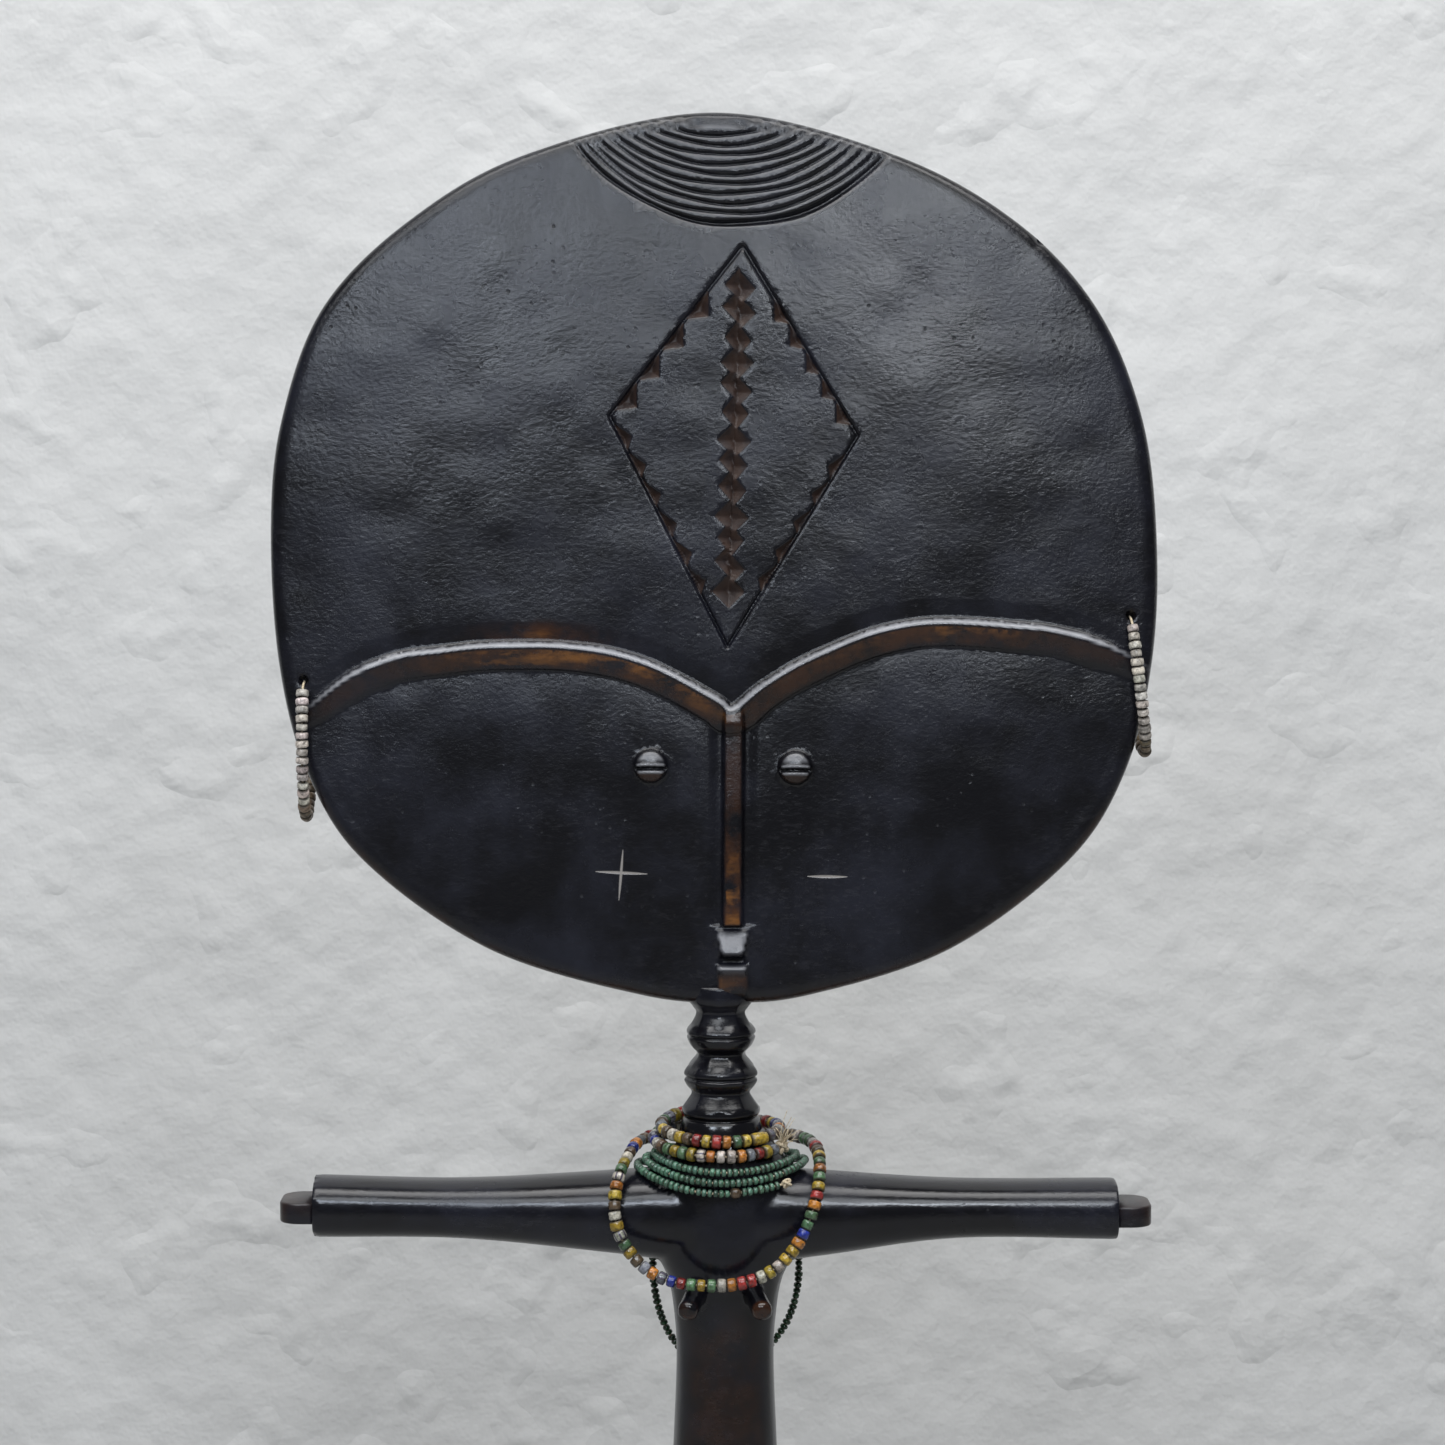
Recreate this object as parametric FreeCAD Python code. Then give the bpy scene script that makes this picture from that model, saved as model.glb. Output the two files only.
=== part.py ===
# A carved wooden fertility doll with a flat round head, a ringed neck, short straight arms and a plain
# trunk on a round foot. It wears two bead hoops through holes at the rim of its head, a string of mixed
# glass beads and a string of small green beads. Both strings are wound round the neck and each leaves
# one long loop: the mixed one hangs on the chest, the green one down the back.
#
# Millimetres. +Z is up, the figure faces -Y, and the origin is the centre of the underside of its foot.
import FreeCAD, Part
import math
import os
from FreeCAD import Vector

# ---- the carving ----
foot_radius = 28.0
foot_height = 7.0
foot_edge_round = 2.0
shoulder_height = 186.6      # where the neck meets the trunk
chin_height = 209.0          # underside of the head above the ground
head_width = 150.8
head_height = 151.4
head_offset = -1.9           # the disc sits a little to the figure's right of the trunk
head_rim_thickness = 9.0
head_crown = 2.2             # how far each face swells at the middle of the disc
head_rim_round = 2.4
head_lean_deg = 4.0          # the disc leans back
neck_offset = -0.7
arm_reach_left = 70.4        # from the middle of the trunk to the shoulder of the hand tab
arm_reach_right = 67.2
arm_height = 173.2           # axis of the arms above the ground
arm_half_depth = 6.6
hand_length = 5.8
hand_thickness = 3.6
hand_half_width = 5.4
breast_radius = 1.8
breast_length = 8.0

# ---- the carved features of the face, from the chin up and from the disc's own middle line ----
brow_relief = 1.4
brow_width = 4.6
nose_relief = 2.6
nose_width = 3.4
nose_bottom = 13.2           # above the chin
lip_width = 5.0
upper_lip = (8.0, 12.6, 2.9)  # from and to above the chin, and how far it stands proud
lower_lip = (0.6, 6.4, 2.6)
eye_radius = 2.8
eye_relief = 2.4
eye_slot = 0.7
groove_depth = 0.7
groove_width = 0.6
crown_arc_count = 10
crown_arc_pitch = 1.75
crown_arc_half_width = 28.0  # of the outermost arc, where it meets the rim
crown_arc_drop = 19.0        # lowest point of the outermost arc below the top of the head
mark_length = 8.0            # scratched marks on the cheeks
mark_width = 0.5
mark_depth = 0.4
diamond_chip = 1.55          # from the middle of a notch to its corners
chip_depth = 0.8
chips_by_edge = (5, 6, 6, 7)
chip_rows = 13               # notches down the middle of the diamond, on each side

# ---- the strings of beads ----
thread_diameter = 0.4
bore_clearance = 0.2         # all round the thread, in a bead
bead_gap = 0.2               # bare thread between two beads
hoop_hole_diameter = 1.6
hoop_hang = {"left": 9.0, "right": 11.3}   # lowest point of a hoop below the edge of the disc
hoop_clearance = 0.5         # between a hoop's beads and the faces of the disc
hoop_mouth = 1.0             # how far the thread runs straight out of each end of its hole
hoop_first_bead = 5.2        # bare thread outside the hole, before the first bead
hoop_bead_radius, hoop_bead_length = 1.12, 1.2
green_radius, green_length = 0.75, 0.78
mixed_radius, mixed_length = 1.2, 1.5
knot_length = 2.2
knot_clearance = 0.36

half_width = head_width / 2
rim_half = head_rim_thickness / 2


def vec(point):
    return Vector(*point)


# ------------------------------------------------------------------ head
# Shares of the half width and of the height, clockwise from the crown as seen from the front.
head_outline = [
    (0.00, 1.000), (0.40, 0.954), (0.678, 0.879), (0.863, 0.781), (0.967, 0.656), (1.00, 0.517),
    (0.989, 0.383), (0.928, 0.259), (0.80, 0.159), (0.532, 0.060), (0.219, 0.009), (0.03, 0.000),
    (-0.168, 0.009), (-0.507, 0.060), (-0.790, 0.159), (-0.918, 0.259), (-0.982, 0.383), (-1.00, 0.536),
    (-0.975, 0.656), (-0.882, 0.781), (-0.687, 0.879), (-0.419, 0.954),
]


# Where the features of the face lie, in the same shares.
brow_meeting = (0.0424, 0.3362)
brow_left = [(-0.1207, 0.3738), (-0.2560, 0.3970), (-0.4695, 0.4036), (-0.7056, 0.3824), (-0.9085, 0.3408)]
brow_right = [(0.1936, 0.3824), (0.3289, 0.4168), (0.5093, 0.4326), (0.7334, 0.4234), (0.9244, 0.3937)]
eye_places = [(-0.1419, 0.2668), (0.1830, 0.2649)]
diamond_corners = [(-0.2334, 0.6579), (0.0650, 0.8481), (0.3223, 0.6361), (0.0305, 0.4003)]
plus_place, minus_place = (-0.2075, 0.1493), (0.2573, 0.1453)
hoop_places = {"left": (-0.9231, 0.3626), "right": (0.9377, 0.4353)}
hoop_splay = {"left": 0.0, "right": 2.9}     # the right hoop leans on the rim


def head_point(share_x, share_v):
    """x from the trunk and height above the chin, in the head's own upright frame."""
    return head_offset + share_x * half_width, share_v * head_height


def upright_curve(points, closed=False):
    curve = Part.BSplineCurve()
    curve.interpolate([Vector(x, 0, z) for x, z in points], PeriodicFlag=closed)
    return curve.toShape()


def slab(profile, front, back):
    """A closed upright outline drawn through from y = front to y = back."""
    face = Part.Face(profile) if isinstance(profile, Part.Wire) else Part.Face(Part.Wire([profile]))
    face.translate(Vector(0, front, 0))
    return face.extrude(Vector(0, back - front, 0))


ball_radius = (half_width ** 2 + head_crown ** 2) / (2 * head_crown)
crown_at = rim_half + head_crown


def dome(relief):
    """A lens with both faces swelling like a large ball; its front stands relief proud of the disc."""
    middle = Vector(head_offset, 0, head_height / 2)
    front = Part.makeSphere(ball_radius, middle + Vector(0, ball_radius - crown_at - relief, 0))
    back = Part.makeSphere(ball_radius, middle - Vector(0, ball_radius - crown_at, 0))
    return front.common(back)


def front_at(x, v):
    """y of the disc's front face at a point of the face."""
    off = math.hypot(x - head_offset, v - head_height / 2)
    sag = ball_radius - math.sqrt(ball_radius ** 2 - off ** 2)
    return sag - crown_at


def head_disc():
    rim = upright_curve([head_point(*p) for p in head_outline], closed=True)
    disc = slab(rim, -2 * crown_at, 2 * crown_at).common(dome(0))
    edges = [e for e in disc.Edges if e.Length > head_width]
    return disc.makeFillet(head_rim_round, edges)


def brow():
    """Two raised arches that meet over the nose and thin out towards the rim."""
    arches = []
    for side in (brow_left, brow_right):
        top = [head_point(*p) for p in [brow_meeting] + side]
        widths = [1.25 * brow_width] + [brow_width] * (len(top) - 2) + [0.8 * brow_width]
        low = [(x, z - width) for (x, z), width in zip(top, widths)]
        upper, lower = upright_curve(top), upright_curve(low)
        ends = [Part.LineSegment(Vector(a[0], 0, a[1]), Vector(b[0], 0, b[1])).toShape()
                for a, b in ((top[0], low[0]), (top[-1], low[-1]))]
        outline = Part.Wire(Part.__sortEdges__([upper, lower] + ends))
        arches.append(slab(outline, -3 * crown_at, -1))
    return arches[0].fuse(arches[1]).common(dome(brow_relief))


def ridge(x, width, low, high, proud):
    """A narrow upright ridge of the face that stands proud of the disc."""
    depth = 3 * crown_at
    return Part.makeBox(width, depth - 1, high - low, Vector(x - width / 2, -depth, low)).common(dome(proud))


def nose():
    """A thin straight bridge from the brow to the mouth, with the lips and chin under it."""
    x, brow_at = head_point(*brow_meeting)
    solid = ridge(x, nose_width, nose_bottom, brow_at, nose_relief)
    return solid.fuse([ridge(x - 0.3, lip_width, *lip) for lip in (upper_lip, lower_lip)])


def eye(place):
    x, v = head_point(*place)
    ball = Part.makeSphere(eye_radius, Vector(x, front_at(x, v) - eye_relief + eye_radius, v))
    slot = Part.makeBox(4 * eye_radius, 1.4, eye_slot,
                        Vector(x - 2 * eye_radius, front_at(x, v) - eye_relief - 0.2, v - eye_slot / 2))
    return ball.cut(slot)


def groove_along(points):
    """Straight cuts of the chisel from point to point of the face."""
    cuts = []
    for (ax, az), (bx, bz) in zip(points, points[1:]):
        run = math.hypot(bx - ax, bz - az)
        turn = math.degrees(math.atan2(bz - az, bx - ax))
        cut = Part.makeBox(run, 10, groove_width, Vector(0, -10, -groove_width / 2))
        depth = min(front_at(ax, az), front_at(bx, bz)) + groove_depth
        cut.Placement = FreeCAD.Placement(Vector(ax, depth, az), FreeCAD.Rotation(Vector(0, -1, 0), turn))
        cuts.append(cut)
    return cuts


def chip(x, v, turn):
    """One three-cornered notch, deepest in its middle."""
    y = front_at(x, v)
    corners = []
    for k in range(3):
        a = turn + math.radians(120 * k)
        corners.append(Vector(x + diamond_chip * math.cos(a), y - 0.6, v + diamond_chip * math.sin(a)))
    tip = Vector(x, y + chip_depth, v)
    base = Part.Face(Part.makePolygon(corners + [corners[0]]))
    sides = [Part.Face(Part.makePolygon([a, b, tip, a])) for a, b in zip(corners, corners[1:] + corners[:1])]
    return Part.Solid(Part.Shell([base] + sides))


def diamond_cuts():
    """A lozenge on the forehead: notches inside its border and a zigzag column down its middle."""
    corners = [head_point(*p) for p in diamond_corners]
    left, top, right, bottom = corners
    chips = []
    inset = 1.1 * diamond_chip
    for (ax, az), (bx, bz), count in zip(corners, corners[1:] + corners[:1], chips_by_edge):
        inward = math.atan2(ax - bx, bz - az) + math.pi
        for k in range(count):
            t = (k + 1.4) / (count + 2)
            x = ax + t * (bx - ax) + inset * math.cos(inward)
            z = az + t * (bz - az) + inset * math.sin(inward)
            chips.append(chip(x, z, inward))
    half_gap = 0.61 * diamond_chip
    for k in range(chip_rows):
        t = (k + 1.3) / (chip_rows + 1.8)
        x = top[0] + t * (bottom[0] - top[0])
        z = top[1] + t * (bottom[1] - top[1])
        chips.append(chip(x - half_gap, z, math.pi))
        chips.append(chip(x + half_gap, z + diamond_chip, 0))
    return groove_along(corners + corners[:1]) + chips


def crown_cuts():
    """Nested shallow arcs that hang from the rim at the top of the head."""
    cuts = []
    through = Vector(0, 1, 0)
    x = head_offset + 3.4
    for k in range(crown_arc_count):
        drop = crown_arc_drop - k * crown_arc_pitch
        half = crown_arc_half_width * math.sqrt(drop / crown_arc_drop)
        sagitta = drop * 0.72
        radius = (half ** 2 + sagitta ** 2) / (2 * sagitta)
        low = head_height - drop
        middle = Vector(x, front_at(x, low) + groove_depth - 8, low + radius)
        outer = Part.makeCylinder(radius + groove_width / 2, 8, middle, through)
        inner = Part.makeCylinder(radius - groove_width / 2, 8, middle, through)
        keep = Part.makeBox(2 * half + 8, 40, drop + 2, Vector(x - half - 4, -40, low - 1))
        cuts.append(outer.cut(inner).common(keep))
    return cuts


def cheek_marks():
    """A plus on one cheek and a minus on the other, scratched with a knife."""
    marks = []
    for place, across, up in ((plus_place, mark_length, mark_width), (plus_place, mark_width, mark_length),
                              (minus_place, 0.75 * mark_length, mark_width)):
        x, v = head_point(*place)
        floor = front_at(x, v) + mark_depth
        marks.append(Part.makeBox(across, 3, up, Vector(x - across / 2, floor - 3, v - up / 2)))
    return marks


def lean(shape_or_point):
    """Tips something of the head's upright frame back and sets it on the neck."""
    place = FreeCAD.Placement(Vector(0, 0, chin_height), FreeCAD.Rotation(Vector(1, 0, 0), -head_lean_deg))
    if isinstance(shape_or_point, Vector):
        return place.multVec(shape_or_point)
    shape_or_point.Placement = place.multiply(shape_or_point.Placement)
    return shape_or_point


def head():
    solid = head_disc().fuse([brow(), nose()] + [eye(place) for place in eye_places])
    holes = []
    for place in hoop_places.values():
        x, v = head_point(*place)
        start = Vector(x, -2 * crown_at, v)
        holes.append(Part.makeCylinder(hoop_hole_diameter / 2, 4 * crown_at, start, Vector(0, 1, 0)))
    solid = solid.cut(holes + diamond_cuts() + crown_cuts() + cheek_marks())
    return lean(solid)


# ------------------------------------------------------------------ neck, trunk and arms
# radius of the neck, and the share of the way from the shoulders up to the chin
neck_rings = [
    (5.7, 1.009), (4.3, 0.920), (5.9, 0.786), (6.0, 0.750), (5.7, 0.737), (5.9, 0.723), (4.25, 0.603),
    (6.2, 0.478), (6.3, 0.433), (5.9, 0.420), (6.2, 0.406), (5.0, 0.308), (6.5, 0.196), (6.7, 0.134),
    (6.3, 0.116), (6.8, 0.098), (7.3, 0.0),
]


def neck():
    """Three rings, each a double cone with a groove round its edge."""
    profile = [(r, shoulder_height + share * (chin_height - shoulder_height)) for r, share in neck_rings]
    profile.insert(0, (5.6, chin_height + 3.0))
    outline = [Vector(0, 0, profile[0][1])] + [vec((r, 0, z)) for r, z in profile]
    outline.append(Vector(0, 0, shoulder_height))
    face = Part.Face(Part.makePolygon(outline + [outline[0]]))
    solid = face.revolve(Vector(0, 0, 0), Vector(0, 0, 1), 360)
    solid.translate(Vector(neck_offset, 0, 0))
    return solid


# height, half width, half depth of the body from the neck down to the foot
trunk_sections = [
    (187.0, 7.1, 7.1), (184.0, 8.8, 8.2), (180.5, 12.0, 9.0), (176.0, 14.2, 9.3), (170.0, 14.0, 9.4),
    (165.0, 11.6, 9.3), (161.0, 9.8, 8.9), (156.0, 8.9, 8.5), (148.0, 8.4, 8.2), (132.0, 9.0, 8.8),
    (105.0, 10.3, 10.0), (75.0, 11.9, 11.6), (45.0, 13.9, 13.7), (18.0, 16.8, 16.8), (5.0, 19.5, 19.5),
]


def even_ring(centre, u, v, half_u, half_v):
    """A closed smooth ring whose points line up with those of the rings beside it."""
    points = []
    for k in range(16):
        a = 2 * math.pi * k / 16
        points.append(centre + u * (half_u * math.cos(a)) + v * (half_v * math.sin(a)))
    curve = Part.BSplineCurve()
    curve.interpolate(points, PeriodicFlag=True)
    return Part.Wire([curve.toShape()])


def trunk():
    rings = [even_ring(Vector(0, 0, z), Vector(1, 0, 0), Vector(0, 1, 0), a, b) for z, a, b in trunk_sections]
    body = Part.makeLoft(rings, True, False)
    foot = Part.makeCylinder(foot_radius, foot_height)
    top_edge = [e for e in foot.Edges if abs(e.BoundBox.ZMin - foot_height) < 1e-6]
    return body.fuse(foot.makeFillet(foot_edge_round, top_edge))


def arms():
    left, right, deep_end = arm_reach_left, arm_reach_right, arm_half_depth
    stations = [
        (-left, 0.4, 5.2, deep_end), (-0.64 * left, 0.0, 5.05, deep_end), (-0.27 * left, -0.6, 7.0, 7.9),
        (0.0, -1.0, 8.8, 9.0), (0.25 * right, -0.8, 7.2, 7.9), (0.59 * right, 0.0, 5.0, deep_end),
        (right, -0.1, 5.1, deep_end),
    ]
    rings = [even_ring(Vector(x, 0, arm_height + dz), Vector(0, 0, 1), Vector(0, -1, 0), tall, deep)
             for x, dz, tall, deep in stations]
    bar = Part.makeLoft(rings, True, False)
    for side, reach, dz in ((-1, left, 0.0), (1, right, -0.6)):
        inside = 3.0
        plate = Part.makeBox(hand_length + inside, 2 * hand_half_width, hand_thickness,
                             Vector(reach - inside, -hand_half_width, arm_height + dz - hand_thickness / 2))
        corners = [e for e in plate.Edges if abs(e.Length - hand_thickness) < 1e-6]
        outer = [e for e in corners if e.BoundBox.XMin > reach + 1]
        plate = plate.makeFillet(0.6 * hand_half_width, outer)
        if side < 0:
            plate = plate.mirror(Vector(0, 0, 0), Vector(1, 0, 0))
        bar = bar.fuse(plate)
    return bar


def breasts():
    pegs = []
    for side in (-1, 1):
        root = Vector(side * 4.6, -7.2, 160.6)
        out = Vector(side * 0.24, -0.92, -0.30).normalize()
        peg = Part.makeCylinder(breast_radius, breast_length, root, out)
        tip = [e for e in peg.Edges if (e.CenterOfMass - root).dot(out) > breast_length - 0.01]
        pegs.append(peg.makeFillet(0.35 * breast_radius, tip))
    return pegs


def carved_figure():
    solid = trunk().fuse([arms(), neck()] + breasts())
    return solid.fuse(head())


# ------------------------------------------------------------------ strings
def round_cornered(points):
    """Straight runs joined by arcs as large as the two runs at each corner allow."""
    points = [vec(p) for p in points]
    corners, radii = [], []
    for before, at, after in zip(points, points[1:], points[2:]):
        run_in, run_out = at - before, after - at
        half_turn = run_in.getAngle(run_out) / 2
        tangent = 0.45 * min(run_in.Length, run_out.Length)
        start = at - run_in.normalize() * tangent
        end = at + run_out.normalize() * tangent
        radius = tangent / math.tan(half_turn)
        to_middle = ((start + end) * 0.5 - at).normalize()
        middle = at + to_middle * (radius / math.cos(half_turn) - radius)
        corners.append((start, middle, end))
        radii.append(radius)
    edges = []
    last = points[0]
    for start, middle, end in corners:
        edges += [Part.LineSegment(last, start).toShape(), Part.Arc(start, middle, end).toShape()]
        last = end
    edges.append(Part.LineSegment(last, points[-1]).toShape())
    return Part.Wire(edges), min(radii)


def thread(name, path):
    """A round thread along the path; prints its length and its tightest arc."""
    wire, tightest = path
    start, out = wire.Edges[0].Vertexes[0].Point, wire.Edges[0].tangentAt(wire.Edges[0].FirstParameter)
    section = Part.Wire([Part.Circle(start, out, thread_diameter / 2).toShape()])
    solid = wire.makePipeShell([section], True, False)
    expected = math.pi * thread_diameter ** 2 / 4 * wire.Length
    print(f"{name}: {wire.Length:.1f} mm of thread, tightest arc {tightest:.1f} mm,"
          f" volume {solid.Volume / expected:.3f} of section times length")
    return solid


def bead(radius, length, clearance=bore_clearance):
    """A barrel with its bore along Z, narrow enough at its ends to pass round a bend."""
    bore = thread_diameter / 2 + clearance
    shoulder = bore + 0.55 * (radius - bore)
    outline = [(bore, length / 2), (shoulder, 0.47 * length), (radius, 0.33 * length),
               (radius, -0.33 * length), (shoulder, -0.47 * length), (bore, -length / 2)]
    outline = [Vector(r, 0, z) for r, z in outline]
    return Part.Face(Part.makePolygon(outline + [outline[0]])).revolve(Vector(0, 0, 0), Vector(0, 0, 1), 360)


def place_on(wire, distance, shape):
    """A copy of shape with its Z axis along the wire, distance from the wire's start."""
    for edge in wire.OrderedEdges:
        if distance <= edge.Length:
            break
        distance -= edge.Length
    at = edge.getParameterByLength(min(distance, edge.Length))
    copy = shape.copy()
    turn = FreeCAD.Rotation(Vector(0, 0, 1), edge.tangentAt(at))
    copy.Placement = FreeCAD.Placement(edge.valueAt(at), turn)
    return copy


def strung(wire, radius, length, bare_start, bare_end):
    """Equal beads along the wire, from one bare end to the other."""
    room = wire.Length - bare_start - bare_end
    count = int((room + bead_gap) / (length + bead_gap))
    pitch = (room - length) / (count - 1)
    one = bead(radius, length)
    return [place_on(wire, bare_start + length / 2 + k * pitch, one) for k in range(count)]


def knot(wire, distance, radius):
    """A tied knot, hollow where it holds the ends of the thread."""
    return place_on(wire, distance, bead(radius, knot_length, knot_clearance))


def wound(anchors, steps, turns):
    """Points of a winding round the neck that starts at the nape."""
    route = []
    count = round(turns * 12)
    for k in range(count + 1):
        turn = turns * k / count
        back, left, front, right = [vec(a) + vec(s) * turn for a, s in zip(anchors, steps)]
        c, s = math.cos(2 * math.pi * turn), math.sin(2 * math.pi * turn)
        middle = (back + left + front + right) * 0.25
        twist = (back + front - left - right) * 0.25
        route.append(middle + (back - front) * (c / 2) + (left - right) * (s / 2) + twist * (c * c - s * s))
    return route


# Routes of the threads, chosen by hand. x, y, z above the ground.
front_loop_route = [
    (-0.3, 11.3, 184.0), (-4.4, 11.1, 184.1), (-8.8, 9.8, 184.3), (-12.7, 6.9, 184.4), (-15.2, 2.4, 184.2),
    (-16.4, -2.2, 183.0), (-17.9, -6.6, 180.9), (-18.8, -9.8, 177.0), (-18.5, -10.8, 172.3),
    (-16.4, -11.3, 168.1), (-13.0, -11.9, 164.7), (-8.7, -12.6, 163.0), (-3.4, -13.1, 162.6),
    (2.5, -13.1, 162.8), (7.6, -12.7, 164.6), (11.5, -11.9, 168.1), (14.1, -11.2, 172.7), (15.7, -9.9, 177.6),
    (16.2, -6.4, 181.5), (16.0, -2.0, 183.5), (15.0, 2.4, 184.3), (12.5, 6.9, 184.4), (8.4, 9.8, 184.3),
    (4.2, 11.1, 184.1), (0.3, 11.3, 184.0),
]
back_loop_route = [
    (-0.3, 11.5, 176.1), (-3.9, 11.5, 175.8), (-7.3, 11.4, 174.3), (-10.2, 11.4, 171.6),
    (-12.1, 11.4, 167.6), (-12.7, 11.5, 163.0), (-12.6, 11.6, 158.0), (-11.8, 11.7, 153.1),
    (-10.2, 11.8, 148.8), (-7.7, 11.9, 145.2),
    (-4.3, 12.0, 142.7), (-0.2, 12.1, 141.9), (3.9, 12.0, 143.0), (7.4, 11.9, 145.5), (10.2, 11.8, 148.9),
    (12.1, 11.7, 153.1), (13.0, 11.6, 158.1), (12.9, 11.5, 163.0), (12.2, 11.4, 167.6), (10.3, 11.4, 171.6),
    (7.3, 11.4, 174.3), (3.9, 11.5, 175.8), (0.3, 11.5, 176.1),
]
# The wound parts: the first turn's points at the nape, on the left, at the throat and on the right, and
# how far each moves with every turn.
collar_anchors = [(-0.7, 8.9, 189.1), (-10.9, 0.0, 188.2), (-0.7, -8.9, 187.5), (8.7, 0.0, 188.8)]
collar_steps = [(0.0, 0.7, -2.5), (-1.3, 0.0, -2.2), (0.0, -1.2, -2.3), (1.2, 0.0, -2.25)]
collar_turns = 1.68
green_anchors = [(-0.4, 11.2, 181.7), (-12.1, 0.0, 183.2), (-0.5, -11.6, 182.4), (11.5, 0.0, 183.3)]
green_steps = [(0.0, 0.0, -1.87), (-1.55, 0.0, -0.92), (0.0, 0.0, -1.87), (1.55, 0.0, -0.9)]
green_turns = 2.62
collar_route = wound(collar_anchors, collar_steps, collar_turns)
green_route = wound(green_anchors, green_steps, green_turns)


def edge_under(share_x):
    """Share of the height at which the disc's lower edge passes a share of its half width."""
    for (ax, av), (bx, bv) in zip(head_outline, head_outline[1:]):
        if (ax - share_x) * (bx - share_x) <= 0 and max(av, bv) < 0.5:
            return av + (bv - av) * (share_x - ax) / (bx - ax)


def hoop_route(side):
    """Through the rim hole, down in front of the disc, round under its edge and up behind it."""
    depth = rim_half + head_crown * 0.2 + hoop_clearance + hoop_bead_radius
    mouth = rim_half + hoop_mouth
    share_x, share_v = hoop_places[side]
    splay = -hoop_splay[side] if side == "left" else hoop_splay[side]
    edge = edge_under(share_x + splay / half_width)
    low = (share_v - edge) * head_height + hoop_hang[side]
    # share of the splay, depth, height below the hole
    front = [(0.0, mouth, 0.0), (0.12, 1.06 * depth, -3.9), (0.3, 1.1 * depth, -8.2),
             (0.5, 1.07 * depth, -0.55 * low), (0.7, 0.95 * depth, -0.73 * low),
             (0.87, 0.68 * depth, -0.89 * low), (1.0, 0.27 * depth, -low)]
    behind = front[1::-1]
    before = [(share, -y, z) for share, y, z in front]
    return_way = front[:1:-1] + [(0.13, 1.06 * depth, -4.3)]
    x, v = head_point(share_x, share_v)
    return [lean(Vector(x + splay * share, y, v + z)) for share, y, z in behind + before + return_way]


# The colours of the mixed strings, bead by bead from the nape round by the left.
front_loop_colours = """white green yellow brown red blue yellow
    red brown grey orange blue brown white yellow green white orange yellow brown white yellow white green
    yellow brown grey orange grey blue red green yellow green white orange red red white yellow white yellow
    yellow orange blue green green orange red yellow green orange green yellow brown red white green green
    white brown brown orange white yellow grey""".split()
collar_colours = """white orange grey red yellow grey green brown
    grey yellow grey white yellow brown red yellow red orange green yellow white white grey brown
    white orange grey blue yellow red white green yellow brown orange white blue red yellow white
    grey orange green white grey blue white brown green yellow green yellow white orange white""".split()
hoop_colours = ["white"] * 14 + ["brown"] * 14


def strings():
    """Every thread, knot and group of like-coloured beads, by the name of its node."""
    nodes = {}

    def add(name, route, radius, length, colours, bare_start, bare_end, knot_at):
        path = round_cornered(route)
        wire = path[0]
        nodes[name + "_thread"] = [thread(name, path)]
        for k, one in enumerate(strung(wire, radius, length, bare_start, bare_end)):
            nodes.setdefault(f"{name}_{colours[k % len(colours)]}_beads", []).append(one)
        nodes[name + "_knot"] = [knot(wire, at % wire.Length, radius) for at in knot_at]

    tied = knot_length / 2 + bead_gap
    hoop_start = 2 * (rim_half + hoop_mouth) + hoop_first_bead
    for side in hoop_places:
        add(side + "_hoop", hoop_route(side), hoop_bead_radius, hoop_bead_length, hoop_colours,
            hoop_start, tied, [0])
    add("collar", collar_route, mixed_radius, mixed_length, collar_colours, tied, tied, [0, -0.01])
    add("green_collar", green_route, green_radius, green_length, ["green"], tied, tied, [0, -0.01])
    add("front_loop", front_loop_route, mixed_radius, mixed_length, front_loop_colours, tied, tied, [0])
    add("back_loop", back_loop_route, green_radius, green_length, ["green"], tied, tied, [0])
    return nodes


os.makedirs("parts", exist_ok=True)
nodes = {"carved_figure": [carved_figure()]}
nodes.update(strings())
for name, solids in nodes.items():
    shape = solids[0] if len(solids) == 1 else Part.makeCompound(solids)
    shape.exportStep(f"parts/{name}.step")
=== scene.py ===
import bmesh
import bpy
import math
import numpy as np
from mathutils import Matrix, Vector


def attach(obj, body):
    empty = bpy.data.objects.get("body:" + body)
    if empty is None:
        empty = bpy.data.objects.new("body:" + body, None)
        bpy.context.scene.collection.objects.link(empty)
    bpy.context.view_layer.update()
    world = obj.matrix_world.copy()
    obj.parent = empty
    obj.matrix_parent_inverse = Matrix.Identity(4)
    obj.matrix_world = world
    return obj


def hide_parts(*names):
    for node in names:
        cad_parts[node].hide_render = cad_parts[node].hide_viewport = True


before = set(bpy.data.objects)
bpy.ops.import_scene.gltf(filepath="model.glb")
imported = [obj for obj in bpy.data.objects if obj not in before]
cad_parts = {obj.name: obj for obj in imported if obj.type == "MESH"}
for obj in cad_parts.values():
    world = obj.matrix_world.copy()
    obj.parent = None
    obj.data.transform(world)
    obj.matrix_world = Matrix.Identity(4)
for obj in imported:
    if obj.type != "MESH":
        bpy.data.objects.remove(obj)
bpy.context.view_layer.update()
scene = bpy.context.scene
scene.view_settings.view_transform = "Standard"
mm = 0.001
print("frame loaded")


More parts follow.
